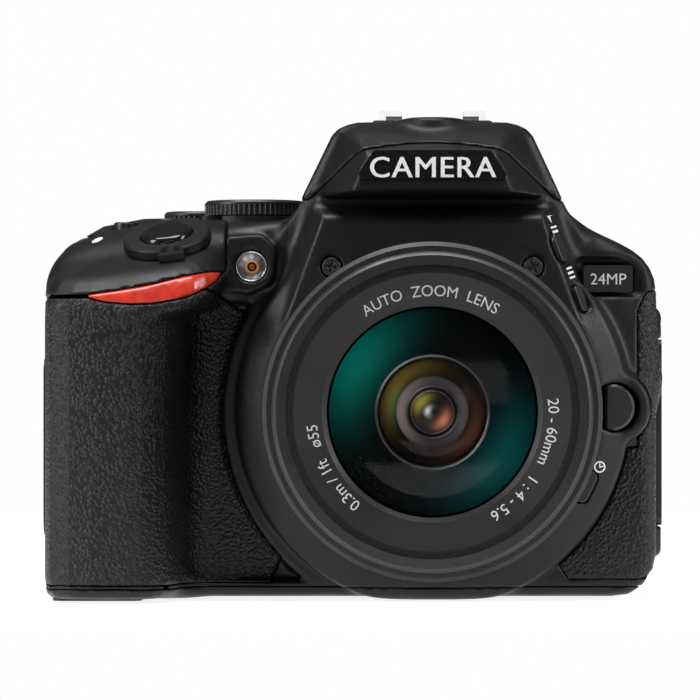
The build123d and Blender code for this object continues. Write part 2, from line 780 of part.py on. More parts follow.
with BuildPart() as top_cover:
    add(shell_form.part)
    add(bulkhead_form.part)
    add(top_region.part, mode=Mode.INTERSECT)
    add(flash_well.part & block((-60, 60), (-60, flash_back_y + gap), (60, 99)), mode=Mode.SUBTRACT)
    for x in (-15.7, 12.3):
        with BuildSketch(side_plane(x)):
            with Locations(flash_pivot):
                Circle(1.6)
            with Locations((-1.6, flash_pivot[1] - 0.6)):
                Rectangle(2.8, 2.0)
        extrude(amount=3.4)
    with BuildSketch(side_plane(-14)):
        with Locations(flash_pivot):
            Circle(0.8)
    extrude(amount=28)
    add(accent_strip.part, mode=Mode.SUBTRACT)
    add(name_plate.part, mode=Mode.SUBTRACT)
    add(strap_lugs.part, mode=Mode.SUBTRACT)
    with BuildSketch(deck_plane.offset(6)):
        Circle(3.0)
    extrude(amount=-10, mode=Mode.SUBTRACT)
    with BuildSketch(Plane(origin=(*mode_dial_xy, deck_z))):
        Circle(mode_dial_r + 0.4)
    extrude(amount=6, mode=Mode.SUBTRACT)
    for centre, radius in ((mode_dial_xy, 3.05), (command_dial_xy, 2.05)):
        with BuildSketch(Plane(origin=(*centre, deck_z + 1))):
            Circle(radius)
        extrude(amount=-5, mode=Mode.SUBTRACT)
    for plane, radius in top_planes.values():
        with BuildSketch(plane.offset(2)):
            Circle(radius + slack)
        extrude(amount=-6, mode=Mode.SUBTRACT)
    add(block((-10.8, 10.8), (2, 22), (shoe_z, 97)), mode=Mode.SUBTRACT)
    with BuildSketch(rear_plane(25, 0, eyecup_z)):
        RectangleRounded(19.4, 12.4, 2.8)
    extrude(amount=10, mode=Mode.SUBTRACT)
    with BuildSketch(rear_plane(25, *diopter_xz)):
        Circle(1.25)
    extrude(amount=10, mode=Mode.SUBTRACT)

with BuildPart() as bottom_cover:
    add(shell_form.part)
    add(block((-120, 120), (-60, 60), (0, base_t)), mode=Mode.INTERSECT)
    add(block(grown(battery_door_x, gap), grown(battery_door_y, gap), (-1, 3)), mode=Mode.SUBTRACT)
    with BuildSketch(Plane.XY):
        Circle(6)
    extrude(amount=base_t, mode=Mode.SUBTRACT)

for builder, name in (
    (front_cover, "front_cover"),
    (rear_cover, "rear_cover"),
    (top_cover, "top_cover"),
    (bottom_cover, "bottom_cover"),
):
    write(builder, name)

with BuildPart() as tripod_socket:
    with BuildSketch(Plane.XY):
        Circle(6)
    extrude(amount=base_t)
    with BuildSketch(Plane.XY.offset(base_t)):
        Circle(8)
    extrude(amount=4.2)
    with BuildSketch(Plane.XY):
        Circle(3.175)
    extrude(amount=5.6, mode=Mode.SUBTRACT)
write(tripod_socket, "tripod_socket")

# ---------------------------------------------------------------- doors
with BuildPart() as battery_door:
    add(block(battery_door_x, battery_door_y, (0, base_t)))
    fillet(battery_door.edges().filter_by(Axis.Z).group_by(Axis.Y)[0], 2)
write(battery_door, "battery_door")

with BuildPart() as card_door:
    add(block((left_x, left_x + wall), card_door_y, card_door_z))
    fillet(card_door.edges().filter_by(Axis.X).group_by(Axis.Y)[0], 3)
write(card_door, "card_door")

with BuildPart() as connector_cover:
    add(block((right_x + 0.1, right_x + 1.4), port_cover_y, port_cover_z))
    fillet(connector_cover.edges().filter_by(Axis.X), 1.5)
    add(block((right_x - wall, right_x + 0.2), (port_cover_y[0] + 0.8, port_cover_y[1] - 0.8),
              (port_cover_z[0] + 0.8, port_cover_z[1] - 0.8)))
write(connector_cover, "connector_cover")

with BuildPart() as connector_ports:
    add(block((36, right_x - wall - 0.3), (0, 17), (16.5, 49.5)))
    with BuildSketch(side_plane(right_x - wall - 0.3)):
        for z, width, height in ((22, 8, 5), (32, 11, 4), (42, 9, 6)):
            with Locations((8.5, z)):
                RectangleRounded(width, height, 1)
    extrude(amount=-4, mode=Mode.SUBTRACT)
write(connector_ports, "connector_ports")

with BuildPart() as battery:
    add(block((-73, -59), (-22, 14), (3.0, 56)))
    fillet(battery.edges().filter_by(Axis.Z), 1.5)
write(battery, "battery")

with BuildPart() as memory_card:
    with BuildSketch(front_plane(19.1)):
        with BuildLine():
            Polyline((-72, 18), (-40, 18), (-40, 42), (-68.5, 42), (-72, 38.5), close=True)
        make_face()
    extrude(amount=2.1)
write(memory_card, "memory_card")

# ---------------------------------------------------------------- monitor
with BuildPart() as monitor_housing:
    add(block(monitor_x, monitor_y, monitor_z))
    fillet(monitor_housing.edges().filter_by(Axis.Y), 3)
    fillet(monitor_housing.faces().sort_by(Axis.Y)[-1].edges(), 1)
    add(block((30, hinge_x), (31.6, 35.4), (21, 49)))
    with BuildSketch(Plane.XY.offset(21)):
        with Locations((hinge_x, hinge_y)):
            Circle(hinge_r)
    extrude(amount=28)
    with BuildSketch(Plane.XY.offset(10)):
        with Locations((hinge_x, hinge_y)):
            Circle(1.05)
    extrude(amount=60, mode=Mode.SUBTRACT)
    add(block((-33.5, 36.5), (35.6, 40), (11, 59)), mode=Mode.SUBTRACT)
write(monitor_housing, "monitor_housing")

with BuildPart() as monitor_screen:
    add(block((-33.5, 36.5), (35.6, 36.5), (11, 59)))
write(monitor_screen, "monitor_screen")

# ---------------------------------------------------------------- mirror box, shutter and sensor
with BuildPart() as camera_mount:
    with BuildSketch(front_plane(apron_y)):
        with Locations((0, axis_z)):
            Circle(mount_r)
            Circle(throat_r, mode=Mode.SUBTRACT)
    extrude(amount=apron_y - flange_y)
    with BuildSketch(front_plane(apron_y + wall)):
        with Locations((0, axis_z)):
            Circle(throat_r + 0.9)
            Circle(throat_r, mode=Mode.SUBTRACT)
    extrude(amount=wall)
    for turn in (90, 210, 330):
        with BuildSketch(front_plane(apron_y - 0.4)):
            with Locations((0, axis_z)):
                with Locations(Rotation(0, 0, turn)):
                    Rectangle(18, 60)
                Circle(throat_r + 0.3, mode=Mode.INTERSECT)
                Circle(lug_r, mode=Mode.SUBTRACT)
            with Locations((0, axis_z)):
                with Locations(Rotation(0, 0, turn)):
                    with Locations((0, -30)):
                        Rectangle(60, 60, mode=Mode.SUBTRACT)
        extrude(amount=1.6)
write(camera_mount, "camera_mount")

with BuildPart() as mirror_box:
    add(block((-20.5, 20.5), (apron_y + wall, 16), (18.5, 55.5)))
    add(block((-17.5, 17.5), (apron_y + 2 * wall, 20), (21.5, 53)), mode=Mode.SUBTRACT)
    add(block((-14, 14), (-12, 13), (50, 60)), mode=Mode.SUBTRACT)
    with BuildSketch(front_plane(0)):
        with Locations((0, axis_z)):
            Circle(22.5)
    extrude(amount=20, mode=Mode.SUBTRACT)
    add(block((-17.5, 17.5), (-16, 20), (21.5, 53)), mode=Mode.SUBTRACT)
write(mirror_box, "mirror_box")

mirror_pivot = (13.0, 51.0)
with BuildPart() as reflex_mirror:
    with BuildSketch(side_plane(-15)):
        with Locations(Location((mirror_pivot[0], mirror_pivot[1], 0), (0, 0, 45))):
            with Locations((-14, 0)):
                Rectangle(27, 1.4)
            Circle(1.0)
    extrude(amount=30)
write(reflex_mirror, "reflex_mirror")

with BuildPart() as shutter_frame:
    add(block((-23, 23), (16, 19), (9, 55)))
    add(block((-12, 12), (15, 21), (29, 45)), mode=Mode.SUBTRACT)
    add(block((-13.6, 13.6), (17.2, 18.6), (8, 48)), mode=Mode.SUBTRACT)
write(shutter_frame, "shutter_frame")

with BuildPart() as shutter_curtain:
    add(block((-13.3, 13.3), (17.6, 18.2), (28, 46)))
write(shutter_curtain, "shutter_curtain")

with BuildPart() as image_sensor:
    add(block((-17, 17), (sensor_y + 0.6, back_y - wall), (24, 50)))
    add(block((-12, 12), (sensor_y, sensor_y + 0.7), (29, 45)))
write(image_sensor, "image_sensor")

# ---------------------------------------------------------------- lens
with BuildPart() as rear_barrel:
    with BuildSketch(Plane.XY):
        with BuildLine():
            Polyline((18, -16.6), (spigot_r, -16.6), (spigot_r, flange_y), (mount_r, flange_y),
                     (mount_r, -25), (30.4, -25.6), (31.4, -38), (30.1, -38), (30.1, -63.4),
                     (29.0, -63.4), (29.0, -25.2), (18, -25.2), close=True)
        make_face()
    revolve(axis=Axis.Y)
    for turn in (30, 150, 270):
        with BuildSketch(front_plane(-18.4)):
            with Locations(Rotation(0, 0, turn)):
                with Locations((0, 15)):
                    Rectangle(16, 30)
            Circle(23.3, mode=Mode.INTERSECT)
            Circle(spigot_r - 0.2, mode=Mode.SUBTRACT)
        extrude(amount=1.6)

with BuildPart() as zoom_ring:
    with BuildSketch(Plane.XY):
        with BuildLine():
            Polyline((30.2, -38.5), (zoom_r - 0.6, -38.5), (zoom_r, -39.1), (zoom_r, zoom_front_y + 0.8),
                     (zoom_r - 0.8, zoom_front_y), (29.2, zoom_front_y), (29.2, zoom_front_y + 0.8),
                     (30.2, zoom_front_y + 0.8), close=True)
        make_face()
    revolve(axis=Axis.Y)
    with BuildSketch(front_plane(-42)):
        with PolarLocations(zoom_r + 0.45, 72):
            Circle(0.95)
    extrude(amount=19, mode=Mode.SUBTRACT)

with BuildPart() as inner_barrel:
    with BuildSketch(Plane.XY):
        with BuildLine():
            Polyline((27.0, -28), (barrel_r, -28), (barrel_r, -71.6), (27.9, -71.6), (27.9, -80.4),
                     (29.2, -80.4), (29.2, lens_front_y + 0.5), (28.7, lens_front_y),
                     (filter_r, lens_front_y), (filter_r, lens_front_y + filter_depth),
                     (26.4, lens_front_y + filter_depth), (26.4, -72), (27.0, -71), close=True)
        make_face()
    revolve(axis=Axis.Y)

with BuildPart() as focus_ring:
    with BuildSketch(Plane.XY):
        with BuildLine():
            Polyline((27.95, -71.9), (29.4, -71.9), (29.6, -72.3), (29.6, -79.8), (29.4, -80.2),
                     (27.95, -80.2), close=True)
        make_face()
    revolve(axis=Axis.Y)
    with BuildSketch(front_plane(-73)):
        with PolarLocations(29.8, 120):
            Circle(0.5)
    extrude(amount=6, mode=Mode.SUBTRACT)

with BuildPart() as name_ring:
    with BuildSketch(Plane.XY):
        with BuildLine():
            Polyline((glass_r, -77.6), (20.4, -78.4), (25.6, -80.4), (26.4, -80.4), (26.4, -74.5),
                     (glass_r, -74.5), close=True)
        make_face()
    revolve(axis=Axis.Y)

with BuildPart() as front_glass:
    with BuildSketch(Plane.XY):
        with BuildLine():
            Line((0, -72.5), (glass_r, -72.5))
            Line((glass_r, -72.5), (glass_r, glass_front_y + glass_bulge))
            CenterArc((0, glass_front_y + glass_sphere_r), glass_sphere_r, 270, glass_angle)
            Line((0, glass_front_y), (0, -72.5))
        make_face()
    revolve(axis=Axis.Y)

with BuildPart() as lens_elements:
    with BuildSketch(Plane.XY):
        with BuildLine():
            Polyline((0, -30), (16, -30), (16, -40), (26.9, -40), (26.9, -44), (18, -46),
                     (14, -64), (14, -71), (19.4, -72.4), (0, -68), close=True)
        make_face()
    revolve(axis=Axis.Y)

for builder, name in (
    (rear_barrel, "rear_barrel"),
    (zoom_ring, "zoom_ring"),
    (inner_barrel, "inner_barrel"),
    (focus_ring, "focus_ring"),
    (name_ring, "name_ring"),
    (front_glass, "front_glass"),
    (lens_elements, "lens_elements"),
):
    with BuildPart() as placed:
        add(Pos(0, 0, axis_z) * builder.part)
    write(placed, name)
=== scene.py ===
"""Looks for the single-lens reflex camera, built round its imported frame.

Soft moulded covers are made here as distance fields, in millimetres in the row frame, and
meshed piece by piece. Mechanical parts keep their CAD meshes and get materials.
"""

import json
import math

import bpy
import numpy as np
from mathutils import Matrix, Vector


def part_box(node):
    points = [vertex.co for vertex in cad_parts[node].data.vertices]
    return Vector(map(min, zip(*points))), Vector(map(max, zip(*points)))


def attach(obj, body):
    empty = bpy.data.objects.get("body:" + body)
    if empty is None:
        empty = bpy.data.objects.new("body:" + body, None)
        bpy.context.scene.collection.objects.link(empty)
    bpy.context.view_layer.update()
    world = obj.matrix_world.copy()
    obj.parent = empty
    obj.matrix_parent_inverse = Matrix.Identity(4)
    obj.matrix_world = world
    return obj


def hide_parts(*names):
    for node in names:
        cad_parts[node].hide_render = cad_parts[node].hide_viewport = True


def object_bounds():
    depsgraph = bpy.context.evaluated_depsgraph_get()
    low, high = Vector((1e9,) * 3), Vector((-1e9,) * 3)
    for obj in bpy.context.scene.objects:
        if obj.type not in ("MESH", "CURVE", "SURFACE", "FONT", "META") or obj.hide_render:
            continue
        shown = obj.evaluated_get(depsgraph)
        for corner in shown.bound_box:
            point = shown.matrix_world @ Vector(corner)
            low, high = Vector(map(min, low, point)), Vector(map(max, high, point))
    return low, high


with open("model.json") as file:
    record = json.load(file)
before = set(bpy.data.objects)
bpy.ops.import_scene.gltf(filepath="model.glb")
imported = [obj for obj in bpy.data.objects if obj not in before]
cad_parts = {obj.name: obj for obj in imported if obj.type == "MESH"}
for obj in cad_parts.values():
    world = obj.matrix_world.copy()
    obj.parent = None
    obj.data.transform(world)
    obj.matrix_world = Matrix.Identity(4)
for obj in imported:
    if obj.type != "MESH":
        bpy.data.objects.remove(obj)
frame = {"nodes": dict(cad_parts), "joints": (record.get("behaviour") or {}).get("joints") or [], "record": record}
cad_low, cad_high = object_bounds()


# ---------------------------------------------------------------- places taken from the frame
def limits(node):
    """Lowest and highest corner of a CAD node, in millimetres."""
    low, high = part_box(node)
    return np.array(low) * 1000, np.array(high) * 1000


def middle(node):
    """Centre of a CAD node's box, in millimetres."""
    low, high = limits(node)
    return (low + high) / 2


joints = {j["name"]: j for j in frame["joints"]}
AXIS_Z = middle("camera_mount")[2]
FLANGE = limits("camera_mount")[0][1]
LEFT, RIGHT = limits("front_cover")[0][0], limits("front_cover")[1][0]
FRONT, APRON = FLANGE + 10, FLANGE + 2
BACK = limits("monitor_housing")[0][1] - 0.4
DECK = limits("mode_dial")[1][2] - 4.5
HUMP = limits("flash_head")[1][2]
DECK_CENTRE = np.array(joints["power_turn"]["pos_m"]) * 1000
DECK_NORMAL = np.array(joints["power_turn"]["axis"])
DECK_END = -41
TOP_SEAM, BASE_SEAM, REAR_SEAM = 72.0, 3.0, 20.0
WALL = 2.4
SKIN = 1.3
GAP = 0.07
HINGE_X = 14
SCREW_X, SCREW_Z = 19.8, 65.5
MESH_MARGIN = 2.6

# Outlines are (u, v, corner radius) in millimetres: SLAB, HUMP_FRONT, NOSE_BASE, BEZEL and FLASH_SEAM
# in x and z, COLUMN and WEDGE in x and y, HUMP_SIDE in y and z. ACCENT_TOP and ACCENT_LOW are plain x, z.
SLAB = [(LEFT, 0, 5), (RIGHT, 0, 9), (RIGHT, 66.4, 9), (28.3, DECK, 5), (LEFT, DECK, 20)]
COLUMN = [(LEFT, 12, 0), (LEFT, -29.5, 12), (-52.5, -29.5, 8.5), (-47.5, -6, 0), (-47.5, 12, 0)]
WEDGE = [(LEFT, 12, 0), (LEFT, -29.5, 12), (-44.5, -29.5, 10), (-38.9, -8, 0), (-38.9, 12, 0)]
HUMP_FRONT = [(-29.9, 71, 0), (29.2, 71, 0), (17.6, HUMP, 7), (-17.6, HUMP, 7)]
NOSE_BASE = [(-35.5, 50, 0), (35.5, 50, 0), (24.6, 80, 0)]
NOSE_BASE += [(17.6, HUMP, 7), (-17.6, HUMP, 7), (-24.6, 80, 0)]
HUMP_SIDE = [
    (APRON, 40, 0),
    (APRON, 75.6, 2.5),
    (-14.2, 77.4, 2),
    (-14.6, 79.4, 1),
    (-26.4, 80, 0.7),
    (-24.6, 90, 4),
    (-18, 93.9, 7),
    (-8, HUMP, 10),
    (25, HUMP, 5),
    (33, 90, 4),
    (33, 40, 0),
]
BEZEL = [(-40.7, 71.6, 1), (-33.6, 72.2, 3), (-30.6, 69, 3)]
BEZEL += [(-31.6, 62.4, 3), (-36.4, 60.2, 3), (-40.7, 61.4, 1)]
ACCENT_TOP = [(-90, 59.5), (-67, 59.8), (-60.8, 60.7), (-54.6, 61.8)]
ACCENT_TOP += [(-48.9, 63.3), (-44.1, 64.3), (-41.8, 64.5)]
ACCENT_LOW = [(-90, 59.5), (-67, 59.35), (-63.9, 58.5), (-59.2, 58.1), (-54.6, 58.2), (-50.4, 58.9)]
ACCENT_LOW += [(-47.3, 59.7), (-44.4, 61.2), (-42.5, 62.7), (-41.8, 64)]
FLASH_SEAM = [(-45, 79, 0), (-24.4, 79, 2), (-14.2, 88.2, 6), (0, 90.6, 60)]
FLASH_SEAM += [(14.2, 88.2, 6), (24.4, 79, 2), (45, 79, 0)]


# ---------------------------------------------------------------- distance fields
def smin(a, b, k):
    """The smaller of two distances, blended over k."""
    h = np.maximum(k - np.abs(a - b), 0) / k
    return np.minimum(a, b) - h * h * k / 4


def smax(a, b, k):
    """The larger of two distances, blended over k."""
    return -smin(-a, -b, k)


def round_corners(points, steps=5):
    """Turns (u, v, radius) corners into a plain closed outline."""
    outline = []
    for i, (u, v, radius) in enumerate(points):
        here = np.array((u, v), float)
        if radius == 0:
            outline.append(here)
            continue
        back = np.array(points[i - 1][:2], float) - here
        ahead = np.array(points[(i + 1) % len(points)][:2], float) - here
        back /= np.linalg.norm(back)
        ahead /= np.linalg.norm(ahead)
        half = math.acos(np.clip(back @ ahead, -1, 1)) / 2
        centre = here + (back + ahead) / np.linalg.norm(back + ahead) * radius / math.sin(half)
        start = here + back * radius / math.tan(half) - centre
        end = here + ahead * radius / math.tan(half) - centre
        turn = math.pi - 2 * half
        for t in np.linspace(0, 1, steps):
            mix = (start * math.sin((1 - t) * turn) + end * math.sin(t * turn)) / math.sin(turn)
            outline.append(centre + mix)
    return outline


def outline_distance(u, v, outline):
    """Signed distance from points to a closed outline, negative inside."""
    best = np.full(np.broadcast(u, v).shape, 1e9)
    inside = np.zeros(best.shape, bool)
    for (u0, v0), (u1, v1) in zip(outline, outline[1:] + outline[:1]):
        du, dv = u1 - u0, v1 - v0
        along = np.clip(((u - u0) * du + (v - v0) * dv) / (du * du + dv * dv + 1e-12), 0, 1)
        best = np.minimum(best, (u - u0 - along * du) ** 2 + (v - v0 - along * dv) ** 2)
        if v0 != v1:
            inside ^= ((v0 > v) != (v1 > v)) & (u < du * (v - v0) / (v1 - v0) + u0)
    return np.where(inside, -1, 1) * np.sqrt(best)


def box_field(x, y, z, xs, ys, zs, k=0.4):
    """Distance to a box given by limits on each axis."""
    dx = np.abs(x - sum(xs) / 2) - (xs[1] - xs[0]) / 2
    dy = np.abs(y - sum(ys) / 2) - (ys[1] - ys[0]) / 2
    dz = np.abs(z - sum(zs) / 2) - (zs[1] - zs[0]) / 2
    return smax(smax(dx, dy, k), dz, k)


def line_height(x, points):
    """Height of a polyline above x."""
    return np.interp(x, [p[0] for p in points], [p[1] for p in points])


slab_outline = round_corners(SLAB)
column_outline = round_corners(COLUMN)
wedge_outline = round_corners(WEDGE)
hump_outline = round_corners(HUMP_FRONT)
hump_side_outline = round_corners(HUMP_SIDE)
nose_outline = round_corners(NOSE_BASE)
bezel_outline = round_corners(BEZEL)
seam_outline = round_corners(FLASH_SEAM + [(45, 105, 0), (-45, 105, 0)], 9)
slab_mid, slab_half = (FRONT + BACK) / 2, (BACK - FRONT) / 2
lamp = middle("af_lamp")
release = middle("lens_release_button")
badge = middle("badge_plate")


def from_axis(x, z):
    """Distance from the lens axis."""
    return np.sqrt(x * x + (z - AXIS_Z) ** 2)


def above_deck(x, y, z):
    """Height above the sloping shutter deck."""
    nx, ny, nz = DECK_NORMAL
    cx, cy, cz = DECK_CENTRE
    return (x - cx) * nx + (y - cy) * ny + (z - cz) * nz


def above_deck_edge(x, y, z):
    """Height above the shutter deck, which climbs from its end towards the prism housing."""
    return above_deck(x, y, z) - np.maximum(x - DECK_END, 0) * 0.5


def main_slab(x, y, z, profile):
    """The flat main body, with the scoop for the fingers between the grip and the lens."""
    slab = smax(profile, np.abs(y - slab_mid) - slab_half, 4)
    slab = smax(slab, above_deck_edge(x, y, z), 5)
    depth, low, high, side, lens_room = 3.6, 3.6, 59, -15, 41.8
    scoop = smax(y - FRONT - depth, lens_room - from_axis(x, z), 1.5)
    scoop = smax(scoop, smax(low - z, z - high, 3), 1.5)
    scoop = np.maximum(scoop, x - side)
    return smax(slab, -scoop, 1.2)


def hand_grip(x, y, z, profile):
    """The grip's upright column under the wider wedge that carries the accent strip."""
    column_top, below_accent = 62, 2.5
    wedge_low = line_height(x, ACCENT_LOW) - below_accent
    column = smax(outline_distance(x, y, column_outline), z - column_top, 2)
    wedge = smax(outline_distance(x, y, wedge_outline), wedge_low - z, 2)
    grip = smax(smin(column, wedge, 2.5), above_deck(x, y, z), 6)
    return smax(grip, profile, 4)


def prism_front(x, y, z):
    """The prism housing as an outline seen from the front, and the nose that narrows forward."""
    tan_lean, cos_lean = 0.577, 0.866
    hump = smax(outline_distance(x, z, hump_outline), FRONT - 0.5 - y, 1)
    nose = (outline_distance(x, z, nose_outline) + np.maximum(FRONT - y, 0) * tan_lean) * cos_lean
    return smin(hump, nose, 2)


def prism_housing(x, y, z):
    """The prism housing, softly rounded over the flash head and crisp below it."""
    front = prism_front(x, y, z)
    side = outline_distance(y, z, hump_side_outline)
    soft = smax(front, side, 3.5)
    crisp = smax(front, side, 0.5)
    below_flash = np.clip((outline_distance(x, z, seam_outline) - 0.5) / 2, 0, 1)
    hump = soft + (crisp - soft) * below_flash
    return np.maximum(hump, 70 - z - np.clip(FRONT + 2 - y, 0, 1) * 60)


def prism_shell(x, y, z):
    """The prism housing alone, with one plain rounding."""
    return smax(prism_front(x, y, z), outline_distance(y, z, hump_side_outline), 1)


def mount_collar(x, y, z):
    """The round collar with its cone in front of the lens mount."""
    radius, cone_radius, back = 38.8, 33, 5
    r = from_axis(x, z)
    cone = (r - cone_radius) * 0.52 + (APRON - y) * 0.85
    return smax(smax(smax(r - radius, APRON - y, 0.8), cone, 1), y - back, 1)


def release_boss(x, y, z):
    """The round-ended boss under the lens release button."""
    radius, half_depth, start, end = 7.1, 4.6, 26, 36
    boss = np.sqrt((x - np.clip(x, start, end)) ** 2 + (z - release[2] + 0.1) ** 2) - radius
    return smax(boss, np.abs(y - FRONT) - half_depth, 1.6)


def badge_ridge(x, y, z):
    """The ridge that runs down from the badge to the release button."""
    radius, top, length = 7.2, 62, 18
    t = np.clip((top - z) / length, 0, 1)
    across, out, down = x - 33.5 - 4.5 * t, y - FRONT - 5.6 - 0.6 * t, z - top + length * t
    return np.sqrt(across**2 + out**2 + down**2) - radius


def body(x, y, z):
    """The whole outer body, before it is split into pieces."""
    profile = outline_distance(x, z, slab_outline)
    shape = smin(main_slab(x, y, z, profile), hand_grip(x, y, z, profile), 5)
    bezel_depth = np.abs(y - FRONT) - 2.4 - 0.12 * (x - lamp[0])
    shape = smin(shape, smax(outline_distance(x, z, bezel_outline), bezel_depth, 0.8), 1.0)
    shape = smin(shape, prism_housing(x, y, z), 3)
    crown = np.sqrt((x / 6.2) ** 2 + ((y + 9) / 7) ** 2 + ((z - HUMP + 1.3) / 3.0) ** 2) - 1
    shape = smin(shape, crown * 3, 1.5)
    shape = smin(shape, mount_collar(x, y, z), 0.8)
    shape = smin(shape, release_boss(x, y, z), 1.0)
    shape = smin(shape, badge_ridge(x, y, z), 4)
    port_side = box_field(x, y, z, (38, RIGHT + 1.3), (-3.6, 19.6), (8.4, 55.3), 1.2)
    shape = smin(shape, port_side, 1.5)
    thumb_rest = box_field(x, y, z, (LEFT + 1, -58), (20, 32), (49, 72), 4)
    shape = smin(shape, smax(thumb_rest, profile + 1.2, 2), 5)
    eyepiece_brow = box_field(x, y, z, (-24, 24), (20, 33), (65.5, 80), 2)
    shape = smin(shape, eyepiece_brow, 3)
    badge_x, badge_z = (badge[0] - 6.3, badge[0] + 7), (badge[2] - 3.6, badge[2] + 4.4)
    badge_shelf = box_field(x, y, z, badge_x, (FRONT - 3, FRONT + 0.9), badge_z, 1.6)
    shape = smax(shape, -badge_shelf, 0.8)
    lean = LEFT + 0.05 * np.maximum(12 - y, 0) - x
    return smax(smax(shape, lean, 3), -z, 1.6)


def cavity(x, y, z):
    """The hollow inside the covers: the main room, the battery bay, the lens throat and the prism."""
    r = from_axis(x, z)
    room_mid, room_half = 11.75, 16.25
    room = np.maximum(outline_distance(x, z, slab_outline) + WALL, np.abs(y - room_mid) - room_half)
    room = np.maximum(room, np.maximum(above_deck_edge(x, y, z) + WALL, WALL - z))
    bay = box_field(x, y, z, (-74.6, -52), (-25, 0), (WALL, 60))
    narrow, wide = smax(r - 24.5, FLANGE - 1 - y, 0.4), smax(r - 36, FLANGE + 5 - y, 0.4)
    throat = smax(np.minimum(narrow, wide), y - 5, 0.4)
    floor_under_flash = np.maximum(np.abs(z - 78.5) - 0.7, y - 1)
    wall_behind_flash = np.maximum(np.abs(y - 0.15) - 0.85, 77.8 - z)
    stays = np.minimum(floor_under_flash, wall_behind_flash)
    stays = np.minimum(stays, box_field(x, y, z, (-12, 12), (1, 24), (91, 94)))
    roof = np.maximum(np.maximum(prism_shell(x, y, z) + 3, 68 - z), -stays)
    return np.minimum(np.minimum(room, bay), np.minimum(throat, roof))


# ---------------------------------------------------------------- meshing
CORNERS = [(a, b, c) for a in (0, 1) for b in (0, 1) for c in (0, 1)]
EDGES = [(p, q) for p in CORNERS for q in CORNERS if p < q and math.dist(p, q) == 1]


def net(field, low, high, voxel):
    """Vertices and quads of the surface where field is zero, inside a box."""
    axes = [np.arange(a, b + voxel, voxel) for a, b in zip(low, high)]
    d = field(axes[0][:, None, None], axes[1][None, :, None], axes[2][None, None, :]).astype(np.float32)
    inside = d < 0
    cells_x, cells_y, cells_z = (n - 1 for n in d.shape)
    count = sum(
        inside[a : cells_x + a, b : cells_y + b, c : cells_z + c].astype(np.int8) for a, b, c in CORNERS
    )
    active = (count > 0) & (count < len(CORNERS))
    index = np.full(active.shape, -1)
    cells = np.argwhere(active)
    index[active] = np.arange(len(cells))
    total, hits = np.zeros((len(cells), 3)), np.zeros(len(cells))
    for p, q in EDGES:
        dp, dq = (d[tuple((cells + c).T)] for c in (p, q))
        cross = (dp < 0) != (dq < 0)
        t = (dp[cross] / (dp[cross] - dq[cross]))[:, None]
        total[cross] += np.array(p) + t * (np.array(q) - np.array(p))
        hits[cross] += 1
    points = np.array(low) + (cells + total / hits[:, None]) * voxel
    for _ in range(2):
        points = points - pull(field, points, voxel)
    quads = []
    for axis in range(3):
        u, v = [a for a in range(3) if a != axis]
        a = np.take(inside, range(0, d.shape[axis] - 1), axis)
        b = np.take(inside, range(1, d.shape[axis]), axis)
        at = np.argwhere(a != b)
        within_u = (at[:, u] > 0) & (at[:, u] < d.shape[u] - 1)
        within_v = (at[:, v] > 0) & (at[:, v] < d.shape[v] - 1)
        at = at[within_u & within_v]
        flip = a[tuple(at.T)] ^ (axis == 1)
        ring = []
        for du, dv in ((-1, -1), (0, -1), (0, 0), (-1, 0)):
            cell = at.copy()
            cell[:, u] += du
            cell[:, v] += dv
            ring.append(index[tuple(cell.T)])
        ring = np.stack(ring, 1)
        ring[~flip] = ring[~flip][:, ::-1]
        quads.append(ring)
    return points, np.concatenate(quads)


def pull(field, points, voxel):
    """How far each point has to move to reach the surface."""
    x, y, z = points.T
    step = 0.04
    value = field(x, y, z)
    ahead = [field(x + step, y, z), field(x, y + step, z), field(x, y, z + step)]
    slope = np.stack([f - value for f in ahead], 1) / step
    size = np.maximum((slope**2).sum(1), 0.2)
    return np.clip(value / size, -voxel / 2, voxel / 2)[:, None] * slope


def add_mesh(name, points, faces, material, body_name, smooth=True):
    """Makes a mesh from points in millimetres that rides on a body."""
    mesh = bpy.data.meshes.new(name)
    metres = (np.array(points) * 0.001).tolist()
    mesh.from_pydata(metres, [], [[int(i) for i in face] for face in faces])
    if smooth:
        mesh.shade_smooth()
    mesh.materials.append(material)
    made = bpy.data.objects.new(name, mesh)
    bpy.context.scene.collection.objects.link(made)
    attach(made, body_name)
    return made


def thin_out(made, ratio):
    """Merges the faces that a flat surface doesn't need."""
    modifier = made.modifiers.new("thin", "DECIMATE")
    modifier.ratio = ratio
    graph = bpy.context.evaluated_depsgraph_get()
    reduced = bpy.data.meshes.new_from_object(made.evaluated_get(graph))
    made.modifiers.clear()
    made.data = reduced


def moulded(node, field, material, voxel, ratio, body_name="body", reach=None):
    """Meshes a field in the room of a CAD node, or further to its reach, and stands for that node."""
    low, high = limits(node)
    if reach is not None:
        low, high = np.minimum(low, reach[0]), np.maximum(high, reach[1])
    points, faces = net(field, low - MESH_MARGIN, high + MESH_MARGIN, voxel)
    made = add_mesh(node + "_form", points, faces, material, body_name)
    thin_out(made, ratio)
    made.data.shade_smooth()
    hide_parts(node)


# ---------------------------------------------------------------- materials
def rgb(red, green, blue):
    """A linear colour with full alpha."""
    return (red, green, blue, 1)


